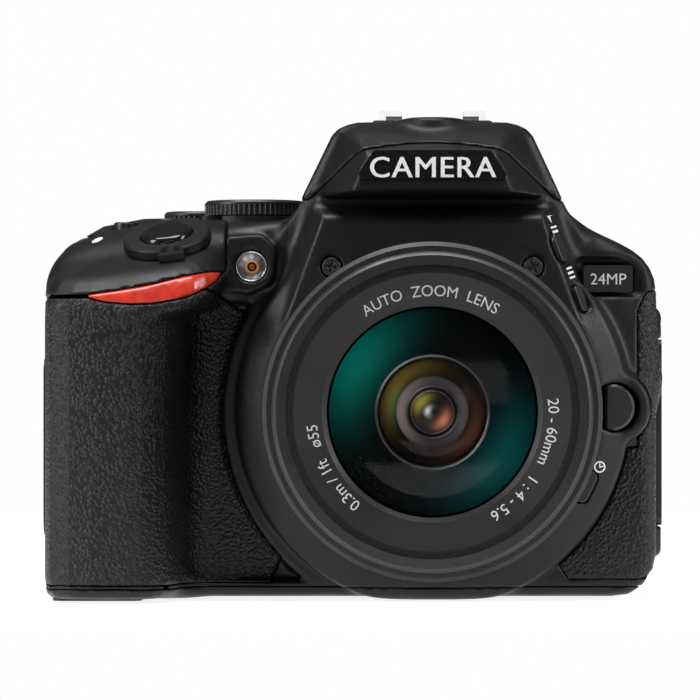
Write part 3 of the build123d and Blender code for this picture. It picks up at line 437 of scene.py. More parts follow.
class Paint:
    """A Principled material with object-space detail, in millimetres."""

    def __init__(self, name, colour, rough, metallic=0.0, **sockets):
        self.material = bpy.data.materials.new(name)
        self.material.use_nodes = True
        self.tree = self.material.node_tree
        self.shader = self.tree.nodes["Principled BSDF"]
        self.shader.inputs["Base Color"].default_value = colour
        self.shader.inputs["Roughness"].default_value = rough
        self.shader.inputs["Metallic"].default_value = metallic
        for socket, value in sockets.items():
            self.shader.inputs[socket.replace("_", " ")].default_value = value
        self.colour = colour
        coords = self.tree.nodes.new("ShaderNodeTexCoord")
        scale = self.tree.nodes.new("ShaderNodeMapping")
        scale.inputs["Scale"].default_value = (1000, 1000, 1000)
        self.link(coords.outputs["Object"], scale.inputs["Vector"])
        self.mm = scale.outputs["Vector"]
        self.last_bump = None

    def link(self, a, b):
        """Joins an output to an input."""
        self.tree.links.new(a, b)

    def noise(self, per_mm, detail=2.0, rough=0.5):
        """A noise value that repeats about per_mm times a millimetre."""
        node = self.tree.nodes.new("ShaderNodeTexNoise")
        node.inputs["Scale"].default_value = per_mm
        node.inputs["Detail"].default_value = detail
        node.inputs["Roughness"].default_value = rough
        self.link(self.mm, node.inputs["Vector"])
        return node.outputs["Fac"]

    def cells(self, per_mm, feature="F1", smooth=0.0):
        """Distance to the nearest cell point."""
        node = self.tree.nodes.new("ShaderNodeTexVoronoi")
        node.feature = feature
        node.inputs["Scale"].default_value = per_mm
        if feature == "SMOOTH_F1":
            node.inputs["Smoothness"].default_value = smooth
        self.link(self.mm, node.inputs["Vector"])
        return node.outputs["Distance"]

    def ramp(self, value, stops):
        """Maps a value through position and grey or colour stops."""
        node = self.tree.nodes.new("ShaderNodeValToRGB")
        for i, (at, colour) in enumerate(stops):
            if i < 2:
                element = node.color_ramp.elements[i]
                element.position = at
            else:
                element = node.color_ramp.elements.new(at)
            element.color = colour if isinstance(colour, tuple) else rgb(colour, colour, colour)
        self.link(value, node.inputs["Fac"])
        return node.outputs["Color"]

    def tint(self, value, low, high, stops=(0.35, 0.65)):
        """Varies the base colour between two multiples of itself."""
        dark = tuple(c * low for c in self.colour[:3]) + (1,)
        light = tuple(c * high for c in self.colour[:3]) + (1,)
        mapped = self.ramp(value, [(stops[0], dark), (stops[1], light)])
        self.link(mapped, self.shader.inputs["Base Color"])
        return self

    def roughen(self, value, low, high, stops=(0.3, 0.7)):
        """Varies roughness between two values."""
        self.link(self.ramp(value, [(stops[0], low), (stops[1], high)]), self.shader.inputs["Roughness"])
        return self

    def bump(self, value, depth_mm, strength=1.0):
        """Adds relief of a given depth."""
        node = self.tree.nodes.new("ShaderNodeBump")
        node.inputs["Distance"].default_value = depth_mm * 0.001
        node.inputs["Strength"].default_value = strength
        self.link(value, node.inputs["Height"])
        if self.last_bump:
            self.link(self.last_bump, node.inputs["Normal"])
        self.last_bump = node.outputs["Normal"]
        self.link(self.last_bump, self.shader.inputs["Normal"])
        return self


def moulded_paint(name, level, rough, grain=2.6, depth=0.05, speck=2.2, **sockets):
    """Dark moulded plastic with a fine spark-eroded grain."""
    paint = Paint(name, rgb(level, level, level * 1.03), rough, **sockets)
    fine = paint.noise(grain, 3.0, 0.6)
    paint.tint(fine, 0.55, speck, (0.38, 0.68))
    paint.roughen(paint.noise(0.12, 2.0), rough - 0.06, rough + 0.08)
    return paint.bump(fine, depth)


body_paint = moulded_paint("body_grain", 0.0045, 0.42, Specular_IOR_Level=0.3)
smooth_paint = moulded_paint("smooth_plastic", 0.008, 0.36, grain=4.0, depth=0.012, speck=1.4)
button_paint = moulded_paint("button_plastic", 0.014, 0.34, grain=3.0, depth=0.012, speck=1.5)
dial_paint = moulded_paint("dial_plastic", 0.012, 0.38, grain=3.2, depth=0.02, speck=1.6)
gloss_paint = moulded_paint("gloss_black", 0.006, 0.16, grain=1.0, depth=0.004, speck=1.3)
barrel_paint = moulded_paint("lens_barrel_plastic", 0.011, 0.42, grain=3.4, depth=0.02, speck=1.6)
inner_paint = moulded_paint("inner_black", 0.004, 0.7, grain=2.0, depth=0.02, speck=1.5)
screen_paint = moulded_paint("screen_glass", 0.006, 0.07, 0.2, 0.0, 1.1, Coat_Weight=0.6)
battery_paint = moulded_paint("battery_grey", 0.06, 0.45, grain=2.0, depth=0.02, speck=1.3)
ring_paint = moulded_paint("name_ring_grey", 0.012, 0.5, grain=3.0, depth=0.006, speck=1.25)

rubber_paint = Paint("grip_leather_rubber", rgb(0.006, 0.006, 0.0063), 0.5, Specular_IOR_Level=0.36)
pebbles = rubber_paint.cells(1.35, "SMOOTH_F1", 0.3)
wrinkle = rubber_paint.noise(2.6, 3.0, 0.6)
rubber_paint.tint(pebbles, 1.7, 0.55, (0.15, 0.62))
rubber_paint.roughen(wrinkle, 0.34, 0.56)
rubber_paint.bump(rubber_paint.ramp(pebbles, [(0.1, 1.0), (0.6, 0.0)]), 0.2).bump(wrinkle, 0.08)

soft_paint = moulded_paint("soft_rubber", 0.008, 0.62, grain=2.2, depth=0.03, speck=1.6)
lens_rubber_paint = moulded_paint("lens_rubber", 0.009, 0.55, grain=2.4, depth=0.03, speck=1.7)

accent_paint = Paint("accent_red", rgb(0.52, 0.028, 0.012), 0.27, Coat_Weight=0.35, Coat_Roughness=0.12)
satin = accent_paint.noise(0.5, 3.0)
accent_paint.tint(satin, 0.82, 1.18)
accent_paint.roughen(accent_paint.noise(1.2), 0.24, 0.36).bump(accent_paint.noise(3.0), 0.008)

steel_paint = Paint("bright_steel", rgb(0.56, 0.56, 0.57), 0.22, 1.0)
brushed = steel_paint.noise(0.9, 4.0)
steel_paint.tint(brushed, 0.8, 1.12).roughen(steel_paint.noise(2.2, 3.0), 0.16, 0.34).bump(brushed, 0.006)
screw_paint = Paint("blackened_screw", rgb(0.045, 0.045, 0.05), 0.36, 0.8)
screw_paint.tint(screw_paint.noise(1.4), 0.7, 1.5).bump(screw_paint.noise(2.0), 0.01)
chrome_paint = Paint("chrome", rgb(0.8, 0.8, 0.82), 0.08, 1.0)
chrome_paint.roughen(chrome_paint.noise(1.0), 0.05, 0.13).bump(chrome_paint.noise(1.5), 0.004)
mirror_paint = Paint("mirror_coat", rgb(0.86, 0.87, 0.88), 0.03, 1.0)
mirror_paint.roughen(mirror_paint.noise(0.3), 0.02, 0.05)
curtain_paint = Paint("curtain", rgb(0.03, 0.03, 0.032), 0.4, 0.5)
curtain_paint.tint(curtain_paint.noise(0.6), 0.8, 1.2).bump(curtain_paint.noise(2.0), 0.01)
sensor_paint = Paint("sensor", rgb(0.05, 0.16, 0.12), 0.12, 0.2, Coat_Weight=1.0)
sensor_paint.tint(sensor_paint.noise(0.1), 0.6, 1.6)
card_paint = Paint("card_blue", rgb(0.02, 0.07, 0.3), 0.4)
card_paint.tint(card_paint.noise(0.6), 0.85, 1.15)
flash_paint = Paint("flash_clear", rgb(0.85, 0.86, 0.88), 0.18, Transmission_Weight=0.5, IOR=1.45)
flash_paint.bump(flash_paint.cells(0.9), 0.1)
amber_paint = Paint("lamp_amber", rgb(0.9, 0.22, 0.02), 0.3, Coat_Weight=0.6)
amber_paint.tint(amber_paint.noise(0.8), 0.7, 1.3)
clear_paint = Paint("clear_glass", rgb(1, 1, 1), 0.02, Transmission_Weight=1.0, IOR=1.45)
clear_paint.roughen(clear_paint.noise(0.2), 0.01, 0.03)
front_glass_paint = Paint("coated_glass", rgb(1, 1, 1), 0.01, Transmission_Weight=1.0, IOR=1.08)
front_glass_paint.roughen(front_glass_paint.noise(0.2), 0.005, 0.02)
white_paint = Paint("white_marking", rgb(0.72, 0.72, 0.7), 0.5)
white_paint.tint(white_paint.noise(2.5, 3.0), 0.88, 1.05)

BY_SLOT = {
    "body_plastic": body_paint,
    "grip_rubber": rubber_paint,
    "accent_red": accent_paint,
    "gloss_black": gloss_paint,
    "lamp_glass": clear_paint,
    "steel": steel_paint,
    "soft_rubber": soft_paint,
    "glass": clear_paint,
    "mirror_coat": mirror_paint,
    "chrome": chrome_paint,
    "inner_black": inner_paint,
    "sensor": sensor_paint,
    "battery_grey": battery_paint,
    "card_blue": card_paint,
    "flash_clear": flash_paint,
    "dial_plastic": dial_paint,
    "button_plastic": button_paint,
    "curtain": curtain_paint,
    "screen_glass": screen_paint,
    "lens_plastic": barrel_paint,
    "lens_rubber": lens_rubber_paint,
}
slot_of = {part["node"]: part["material_slot"] for part in frame["record"]["subparts"]}
for node, made in frame["nodes"].items():
    made.data.materials.clear()
    made.data.materials.append(BY_SLOT[slot_of[node]].material)


def repaint(paint, *nodes):
    """Gives CAD nodes another material."""
    for node in nodes:
        frame["nodes"][node].data.materials[0] = paint.material


repaint(front_glass_paint, "front_glass")
repaint(ring_paint, "name_ring")
repaint(gloss_paint, "shutter_button")
repaint(chrome_paint, "hot_shoe")
repaint(screw_paint, "strap_lugs")
repaint(smooth_paint, "badge_plate", "connector_cover", "card_door", "battery_door")


# ---------------------------------------------------------------- the covers
def peg(x, y, z, origin, axis, along, half, radius, depth=30):
    """Distance to a round-ended bar of any length along its axis."""
    axis = np.array(axis, float) / np.linalg.norm(axis)
    along = np.array(along, float) / np.linalg.norm(along)
    px, py, pz = x - origin[0], y - origin[1], z - origin[2]
    up = px * axis[0] + py * axis[1] + pz * axis[2]
    run = px * along[0] + py * along[1] + pz * along[2]
    run = run - np.clip(run, -half, half)
    side = np.cross(axis, along)
    over = px * side[0] + py * side[1] + pz * side[2]
    return np.maximum(np.sqrt(run * run + over * over) - radius, np.abs(up) - depth)


def joint_axis(name):
    """Direction of a joint in the row frame."""
    return np.array(joints[name]["axis"])


ALONG, BACKWARD, UP = (1, 0, 0), (0, 1, 0), (0, 0, 1)
deck_along = (1, 0, 0.14)
flank_run = (11, 0, -30)
flash_origin, function_origin = middle("flash_button"), middle("function_button")
timer_origin = middle("timer_button")
dial, wheel = middle("mode_dial"), middle("command_dial")
movie, exposure = middle("movie_button"), middle("exposure_button")
diopter = middle("diopter_dial")
shoe_low, shoe_high = limits("hot_shoe")
pivot = np.array(joints["flash_popup"]["pos_m"]) * 1000
card_low, card_high = limits("card_door")
cover_low, cover_high = limits("connector_cover")
battery_low, battery_high = limits("battery_door")
grip_outline = round_corners(
    [(-95, 3.2, 0), (-31.8, 3.2, 0), (-31.8, 4.7, 0), (-30, 8.4, 0), (-20, 8.4, 0)]
    + [(-20, 57, 0), (-38, 57, 3), (-42.4, 60.2, 1)]
    + [(x, z - 0.25, 0) for x, z in ACCENT_LOW[-3:0:-1]]
    + [(-95, 59.38, 0)]
)
front_skin_outline = round_corners(
    [(24.4, 7.7, 0), (26.9, 3.9, 0.5), (41.5, 3.9, 3), (46, 7, 0), (46, 61.5, 0)]
    + [(42.4, 60.8, 1), (40.6, 57, 3), (40.6, 30, 0), (24.4, 30, 0)]
)
accent_outline = round_corners([(x, z, 0) for x, z in ACCENT_LOW[1:] + ACCENT_TOP[:0:-1]])
flash_side = round_corners([(-50, 60, 0), (-1, 60, 0), (-1, HUMP, 2), (-50, HUMP, 0)])


def top_zone(x, y, z):
    """Where the body is top cover: the deck ahead, everything over the seam behind, and the hump."""
    deck_part = np.maximum(np.maximum(x + 40.8, y + 4), line_height(x, ACCENT_TOP) - z)
    back_part = np.maximum(TOP_SEAM - z, -4 - y)
    flash_part = np.maximum(np.maximum(outline_distance(x, z, seam_outline), y + 4.1), 77 - z)
    return np.minimum(np.minimum(back_part, deck_part), flash_part)


def grip_zone(x, y, z):
    """Where the body is covered by the grip rubber."""
    clear_of_lens = 41.5 - from_axis(x, z)
    return smax(smax(outline_distance(x, z, grip_outline), clear_of_lens, 0.3), y + 0.5, 0.3)


def front_skin_zone(x, y, z):
    """Where the body is covered by the rubber beside the lens."""
    clear = np.maximum(39.2 - from_axis(x, z), 7.25 - np.hypot(x - 36, z - release[2] + 0.1))
    return smax(smax(outline_distance(x, z, front_skin_outline), clear, 0.3), y + 5.8, 0.3)


def accent_zone(x, y, z):
    """Where the red strip lies over the grip."""
    return np.maximum(outline_distance(x, z, accent_outline), y + 4)


def flash_zone(x, y, z):
    """Where the hump is flash head."""
    return np.maximum(outline_distance(x, z, seam_outline), outline_distance(y, z, flash_side))


def pocket(zone, shape):
    """Room for a skin of the usual thickness."""
    return np.maximum(zone - GAP, -(shape + SKIN + GAP))


def front_field(x, y, z):
    """The front cover, with its pockets for the skins and its openings."""
    shape = body(x, y, z)
    field = smax(shape, GAP - top_zone(x, y, z), 0.35)
    field = smax(smax(field, y - REAR_SEAM + GAP, 0.3), BASE_SEAM - 0.6 + GAP - z, 0.3)
    field = np.maximum(field, -cavity(x, y, z))
    for zone in (grip_zone, front_skin_zone, accent_zone):
        field = smax(field, -pocket(zone(x, y, z), shape), 0.25)
    cover_y, cover_z = (cover_low[1] - 0.2, cover_high[1] + 0.2), (cover_low[2] - 0.2, cover_high[2] + 0.2)
    swing_y = (cover_low[1] - 1.5, cover_high[1] + 0.2)
    card_y, card_z = (card_low[1] - 0.3, card_high[1] + 0.3), (card_low[2] - 0.3, card_high[2] + 0.3)
    badge_x, badge_z = (badge[0] - 5, badge[0] + 5), (badge[2] - 2.8, badge[2] + 2.8)
    release_hole = np.maximum(np.hypot(x - release[0] + 1.0, z - release[2]) - 4.85, 32 - x + 0.35)
    holes = [
        peg(x, y, z, flash_origin, joint_axis("flash_button_press"), flank_run, 1.5, 1.65),
        peg(x, y, z, function_origin, joint_axis("function_press"), flank_run, 1.35, 1.55),
        peg(x, y, z, timer_origin, BACKWARD, (0.44, 0, 0.9), 1.95, 1.5, 6),
        peg(x, y, z, (0, FLANGE, AXIS_Z), BACKWARD, ALONG, 0, 24.6, 12),
        box_field(x, y, z, (RIGHT - 6, RIGHT + 6), cover_y, cover_z, 1.0),
        box_field(x, y, z, (RIGHT - 0.6, RIGHT + 6), swing_y, cover_z, 0.3),
        box_field(x, y, z, (LEFT - 5, LEFT + 5), card_y, card_z, 1.0),
        box_field(x, y, z, badge_x, (-14, FRONT + 1.6), badge_z, 0.6),
        np.maximum(release_hole, np.abs(y + 14) - 7),
        peg(x, y, z, (SCREW_X, APRON, SCREW_Z), BACKWARD, ALONG, 0, 2.2, 0.75),
        peg(x, y, z, (-SCREW_X, APRON, SCREW_Z), BACKWARD, ALONG, 0, 2.2, 0.75),
    ]
    for hole in holes:
        field = smax(field, -hole, 0.35)
    lamp_hole = peg(x, y, z, (lamp[0], -8, lamp[2]), BACKWARD, ALONG, 0, 3.25, 9)
    return smax(field, -lamp_hole, 0.2)


def flash_hinge(x, y, z):
    """The top cover's two ears, their feet and the pin between them."""
    from_pin = np.hypot(y - pivot[1], z - pivot[2])
    beside = np.abs(np.abs(x) - HINGE_X) - 1.6
    ears = np.maximum(from_pin - 1.6, beside)
    feet = np.maximum(np.maximum(np.abs(y + 1.6) - 1.6, np.abs(z - pivot[2] + 0.6) - 1), beside)
    pin = np.maximum(from_pin - 0.8, np.abs(x) - HINGE_X)
    return np.minimum(np.minimum(ears, feet), pin)


def top_field(x, y, z):
    """The top cover, with its openings for the dials, buttons, eyepiece and shoe."""
    shape = body(x, y, z)
    field = smax(smax(shape, GAP + top_zone(x, y, z), 0.35), -cavity(x, y, z), 0.1)
    field = smax(field, -pocket(accent_zone(x, y, z), shape), 0.2)
    well = np.maximum(outline_distance(x, z, seam_outline), y + 0.7) - 0.3
    field = smax(field, -well, 0.3)
    field = np.minimum(field, flash_hinge(x, y, z))
    holes = [
        peg(x, y, z, DECK_CENTRE, DECK_NORMAL, deck_along, 0, 3.1, 12),
        peg(x, y, z, DECK_CENTRE + 3.4 * DECK_NORMAL, DECK_NORMAL, deck_along, 0, 5.5, 4.2),
        peg(x, y, z, (dial[0], dial[1], DECK + 3), UP, ALONG, 0, 10.5, 3),
    ]
    for place, radius in ((dial, 3.1), (wheel, 2.1), (movie, 2.5), (exposure, 2.8)):
        holes.append(peg(x, y, z, (place[0], place[1], DECK), UP, ALONG, 0, radius, 8))
    for height, radius in ((80, 3.1), (82, 4.1), (78, 4.1)):
        holes.append(peg(x, y, z, (0, 30, height), BACKWARD, ALONG, 6.6, radius, 5))
    holes.append(peg(x, y, z, (diopter[0], 30, diopter[2]), BACKWARD, ALONG, 0, 1.3, 8))
    shoe_x, shoe_y = (shoe_low[0] - 0.1, shoe_high[0] + 0.1), (shoe_low[1] - 0.1, shoe_high[1] + 0.1)
    holes.append(box_field(x, y, z, shoe_x, shoe_y, (shoe_low[2] - 0.05, 99)))
    for hole in holes:
        field = smax(field, -hole, 0.3)
    return field


def bottom_field(x, y, z):
    """The bottom cover, open at the battery door and the tripod socket."""
    field = smax(body(x, y, z), z - (BASE_SEAM - 0.6), 0.3)
    door_x = (battery_low[0] - 0.3, battery_high[0] + 0.3)
    door_y = (battery_low[1] - 0.3, battery_high[1] + 0.3)
    door = box_field(x, y, z, door_x, door_y, (-2, 4), 0.6)
    socket = np.hypot(x, y) - 6.05
    return smax(smax(field, -door, 0.3), -socket, 0.2)


def skin_of(zone):
    """The field of a thin skin over one zone of the body."""

    def field(x, y, z):
        shape = body(x, y, z)
        return smax(smax(shape - 0.05, zone(x, y, z), 0.5), -(shape + SKIN), 0.1)

    return field


def flash_field(x, y, z):
    """The flash head: a roof over the lamp, with its hinge barrel behind."""
    shape = body(x, y, z)
    roof = prism_shell(x, y, z) + 3
    field = smax(smax(shape, flash_zone(x, y, z), 0.5), -roof, 0.3)
    from_pin = np.hypot(y - pivot[1], z - pivot[2])
    field = np.minimum(field, np.maximum(from_pin - 2, np.abs(x) - 11.9))
    notch = np.maximum(np.abs(np.abs(x) - HINGE_X) - 2, np.maximum(pivot[1] - 2.2 - y, 88 - z))
    field = np.maximum(field, -notch)
    field = np.maximum(field, -(from_pin - 0.9))
    (x0, y0, z0), (x1, y1, z1) = limits("flash_lamp")
    room = box_field(x, y, z, (x0, x1), (y0, y1), (z0 - 3, z1 - 1.6))
    tube = box_field(x, y, z, (-8, 8), (y0 + 3, y1 - 2), (z0, z1))
    return np.maximum(field, -np.minimum(room, tube))


nose_reach = ((-45, -27, 70), (45, 0, 92))
flank_reach = ((24, -14, 3), (45, -3, 63))
moulded("front_cover", front_field, body_paint.material, 0.55, 0.3, reach=nose_reach)
moulded("top_cover", top_field, body_paint.material, 0.5, 0.3)
moulded("bottom_cover", bottom_field, body_paint.material, 0.6, 0.25)
moulded("grip_skin", skin_of(grip_zone), rubber_paint.material, 0.5, 0.25)
moulded("front_skin", skin_of(front_skin_zone), rubber_paint.material, 0.4, 0.25, reach=flank_reach)
moulded("accent_strip", skin_of(accent_zone), accent_paint.material, 0.3, 0.5)
moulded("flash_head", flash_field, body_paint.material, 0.45, 0.35, "flash")


# ---------------------------------------------------------------- inside the lens
def painted_glow_paint(name, rough, glow, metallic=0.0):
    """A material that takes its colour from the mesh's own tint, which holds painted reflections and highlights,
    and glows in that same colour.
    """
    paint = Paint(name, rgb(0, 0, 0), rough, metallic, Emission_Strength=glow, Specular_IOR_Level=0.12)
    tint = paint.tree.nodes.new("ShaderNodeAttribute")
    tint.attribute_name = "tint"
    paint.link(tint.outputs["Color"], paint.shader.inputs["Base Color"])
    paint.link(tint.outputs["Color"], paint.shader.inputs["Emission Color"])
    paint.bump(paint.noise(0.5), 0.002)
    return paint.material


def turned(name, profile, colour, material, body_name, steps=128, centre=(0, AXIS_Z)):
    """A ring or dome turned about an axis along y, with a colour for each angle and radius, kept in its tint; for
    the glowing materials that colour is painted reflection and highlight.
    """
    radius, depth = np.array(profile, float).T
    angle = np.linspace(0, 2 * math.pi, steps, endpoint=False)
    x = centre[0] + np.sin(angle)[:, None] * radius
    z = centre[1] + np.cos(angle)[:, None] * radius
    y = np.broadcast_to(depth, x.shape)
    points = np.stack([x, y, z], -1).reshape(-1, 3)
    count = len(profile)
    faces = []
    for i in range(steps):
        for j in range(count - 1):
            a, b = i * count + j, (i + 1) % steps * count + j
            faces.append((a, b, b + 1, a + 1))
    made = add_mesh(name, points, faces, material, body_name)
    layer = made.data.color_attributes.new("tint", "FLOAT_COLOR", "POINT")
    shade = colour(np.broadcast_to(angle[:, None], x.shape), np.broadcast_to(radius, x.shape))
    data = np.concatenate([shade, np.ones(x.shape + (1,))], -1).astype(np.float32)
    layer.data.foreach_set("color", data.ravel())
    made.data.shade_smooth()
    return made


def toward(angle, degrees, width):
    """How near an angle is to a direction, 1 at it and falling off over width."""
    off = (angle - math.radians(degrees) + math.pi) % (2 * math.pi) - math.pi
    return np.exp(-((np.degrees(off) / width) ** 2))[..., None]


def near(radius, middle_r, width):
    """How near a radius is to the middle of a band, 1 at it and falling off over width."""
    return np.exp(-(((radius - middle_r) / width) ** 2))[..., None]


def outer_painted_reflection(angle, radius):
    """Painted teal reflection on the second element, strong at the upper left and dimmer at the lower right."""
    teal = toward(angle, -57, 34) * near(radius, 16.8, 5.0) * np.array((0.0, 0.115, 0.095))
    deep = toward(angle, 125, 36) * near(radius, 16.0, 4.5) * np.array((0.0, 0.05, 0.052))
    return teal + deep + 0.0015


def inner_painted_reflection(angle, radius):
    """Painted amber, brown and green reflections on the third element."""
    amber = toward(angle, -50, 50) * near(radius, 8.4, 1.5) * np.array((0.10, 0.062, 0.012))
    brown = toward(angle, 120, 42) * near(radius, 8.2, 1.3) * np.array((0.06, 0.022, 0.012))
    green = toward(angle, -75, 26) * near(radius, 7.4, 0.9) * np.array((0.01, 0.06, 0.02))
    return amber + brown + green + 0.002


def iris_painted_reflection(angle, radius):
    """Painted pale reflections on the iris, brighter on the left."""
    left = toward(angle, -85, 60) * near(radius, 5.9, 1.3) * np.array((0.17, 0.13, 0.13))
    right = toward(angle, 100, 60) * near(radius, 5.9, 1.2) * np.array((0.06, 0.05, 0.055))
    return left + right + 0.008


def eye_painted_reflection(angle, radius):
    """Painted lime and pink reflections on the innermost element, with a painted white highlight spot."""
    lime = toward(angle, -50, 40) * near(radius, 2.8, 0.9) * np.array((0.28, 0.24, 0.03))
    pink = toward(angle, 125, 40) * near(radius, 2.6, 0.9) * np.array((0.42, 0.14, 0.08))
    spot = toward(angle, -80, 60) * near(radius, 0.9, 0.5) * 0.55
    return lime + pink + spot + 0.006


def rim_painted_glints(angle, radius):
    """Grey rim with painted highlights on two sides."""
    level = 0.12 + 0.4 * toward(angle, -45, 40) + 0.3 * toward(angle, 135, 40)
    return level * 0.4 + np.zeros(3)


def plain_tint(level):
    """One grey all over."""
    return lambda angle, radius: np.zeros(radius.shape + (3,)) + level


def dome(radius, front, bulge, inner=0.0, count=14):
    """Profile of a shallow dome whose rim lies behind its apex."""
    return [(r, front + bulge * (r / radius) ** 2) for r in np.linspace(inner, radius, count)]


# The lens elements are coloured with painted reflections and their rims with painted highlights, and both glow in
# those colours.
painted_reflection_material = painted_glow_paint("painted_coating_reflection", 0.08, 0.55)
painted_rim_highlight_material = painted_glow_paint("element_rim_painted", 0.2, 0.25, 0.8)
deep_y = limits("front_glass")[1][1] + 0.3
liner = [(10.2, deep_y + 0.85), (10.15, deep_y + 3)]
liner += [(10.15 - 0.12 * i - 0.25 * (i % 2), deep_y + 3 + 0.45 * i) for i in range(1, 9)]
stop_ring = [(10.6, deep_y + 0.6), (10.35, deep_y + 0.45), (10.15, deep_y + 0.7)]
second_dome = dome(19.0, deep_y, 3.0, 10.2)
second = turned("lens_second_element", second_dome, outer_painted_reflection, painted_reflection_material, "lens_front")
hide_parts("lens_elements")
turned("lens_liner", liner, plain_tint(0.003), inner_paint.material, "lens_front")
turned("lens_stop_ring", stop_ring, rim_painted_glints, painted_rim_highlight_material, "lens_front")
turned("lens_third_element", dome(9.9, deep_y + 3.2, 1.6, 6.6), inner_painted_reflection, painted_reflection_material, "lens_front")
turned("lens_iris", dome(6.9, deep_y + 4.2, 0.5, 4.6), iris_painted_reflection, painted_reflection_material, "lens_front")
turned("lens_eye", dome(4.5, deep_y + 4.3, 1.3, 0.02), eye_painted_reflection, painted_reflection_material, "lens_front")
half_turn = np.linspace(0, math.pi, 6)
for name, radius in (("lens_eye_rim_a", 4.75), ("lens_eye_rim_b", 3.9), ("lens_iris_rim", 6.85)):
    loop = [(radius + 0.13 * math.cos(t), deep_y + 4.1 - 0.13 * math.sin(t)) for t in half_turn]
    turned(name, loop, rim_painted_glints, painted_rim_highlight_material, "lens_front")


def reflector_painted_highlight(angle, radius):
    """Painted highlights on the facets of the focus-assist reflector, at the upper left and the bottom, round a
    painted warm glow at its centre.
    """
    facets = 0.5 + 0.5 * np.cos(angle * 9)[..., None]
    upper = toward(angle, -25, 50) * near(radius, 1.9, 0.6) * 0.55
    lower = toward(angle, 165, 35) * near(radius, 2.2, 0.4) * 0.5
    warm = near(radius, 0.9, 0.45) * np.array((0.35, 0.17, 0.05))
    return 0.04 + (upper + lower) * (0.45 + 0.55 * facets) + warm


lamp_front = limits("af_lamp")[0][1]
lamp_at = (lamp[0], lamp[2])
window = dome(2.75, lamp_front + 0.1, 0.7, 0.02)
bowl = [(0.9 + 0.17 * i, lamp_front + 3.4 - 0.022 * i * i) for i in range(12)]
bulb = dome(0.6, lamp_front + 2.4, 0.9, 0.02)
more_than_half_turn = np.linspace(-0.3, math.pi + 0.3, 9)
bezel_loop = [
    (2.92 + 0.22 * math.cos(t), lamp_front + 0.35 - 0.25 * math.sin(t)) for t in more_than_half_turn
]
# The reflector's colour is painted highlights and a painted warm centre, and it glows in that colour.
painted_bowl_glow = painted_glow_paint("lamp_reflector_painted_glow", 0.22, 0.7, 0.4)
cover = turned("lamp_window", window, plain_tint(0), front_glass_paint.material, "body", 48, lamp_at)
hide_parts("af_lamp")
turned("lamp_reflector", bowl, reflector_painted_highlight, painted_bowl_glow, "body", 64, lamp_at)
turned("lamp_bulb", bulb, plain_tint(0), amber_paint.material, "body", 48, lamp_at)
turned("lamp_bezel", bezel_loop, plain_tint(0), chrome_paint.material, "body", 64, lamp_at)


# ---------------------------------------------------------------- screws and printed marks
def screw_field(x, y, z):
    """A flat screw head with a cross slot, about its own centre."""
    across = np.maximum(np.minimum(np.abs(x), np.abs(z)) - 0.22, np.maximum(np.abs(x), np.abs(z)) - 1.25)
    slot = np.maximum(across, y - 0.1)
    return smax(smax(np.hypot(x, z) - 1.85, np.abs(y) - 0.35, 0.2), -slot, 0.08)


screw_points, screw_faces = net(screw_field, (-2.2, -0.7, -2.2), (2.2, 0.7, 2.2), 0.14)
for side, name in ((-1, "apron_screw_left"), (1, "apron_screw_right")):
    turn = math.radians(20 * side + 8)
    spun = screw_points.copy()
    spun[:, 0] = screw_points[:, 0] * math.cos(turn) - screw_points[:, 2] * math.sin(turn)
    spun[:, 2] = screw_points[:, 0] * math.sin(turn) + screw_points[:, 2] * math.cos(turn)
    spun += (side * SCREW_X, APRON + 0.3, SCREW_Z)
    add_mesh(name, spun, screw_faces, screw_paint.material, "body")


def skin_depth(x, z):
    """Depth of the body's front surface at each x and z, found by stepping back from before it."""
    before_body, steps = -34.0, 120
    y = np.full(np.shape(x), before_body)
    for _ in range(steps):
        y = y + np.clip(body(x, y, z), 0, 2) * 0.8
    return y


def printed(name, outlines):
    """White marks laid on the front surface, given as outlines in x and z."""
    points, faces = [], []
    for outline in outlines:
        start = len(points)
        outline = np.array(outline, float)
        outline = np.concatenate([outline, outline.mean(0)[None]])
        depth = skin_depth(outline[:, 0], outline[:, 1]) - 0.06
        points += [(x, y, z) for (x, z), y in zip(outline, depth)]
        rim = len(outline) - 1
        faces += [(start + rim, start + i, start + (i + 1) % rim) for i in range(rim)]
    return add_mesh(name, points, faces, white_paint.material, "body", False)


def oval(x, z, half_width, half_height, tilt_degrees=0.0, count=20):
    """Outline of a tilted ellipse."""
    t = np.linspace(0, 2 * math.pi, count, endpoint=False)
    tilt = math.radians(tilt_degrees)
    u, v = half_width * np.cos(t), half_height * np.sin(t)
    across = x + u * math.cos(tilt) - v * math.sin(tilt)
    return list(zip(across, z + u * math.sin(tilt) + v * math.cos(tilt)))


def circle_line(x, z, radius, line, count=24):
    """A thin closed band inside a circle, as quads."""
    outer = oval(x, z, radius, radius, count=count)
    inner = oval(x, z, radius - line, radius - line, count=count)
    return [(outer[i], outer[(i + 1) % count], inner[(i + 1) % count], inner[i]) for i in range(count)]


def along_flank(u, v, z_mid, inset):
    """A point on the nose's right flank in x and z, u down its edge and v across it."""
    (x_low, z_low, _), (x_high, z_high, _) = NOSE_BASE[1:3]
    down, across = (0.344, -0.939), (0.62, 0.25)
    x_edge = x_high + (z_high - z_mid) * (x_low - x_high) / (z_high - z_low) - inset
    return (x_edge + u * down[0] + v * across[0], z_mid + u * down[1] + v * across[1])


def flank_mark(outline, z_mid, inset):
    """A mark's outline laid along the nose's right flank."""
    return [along_flank(u, v, z_mid, inset) for u, v in outline]


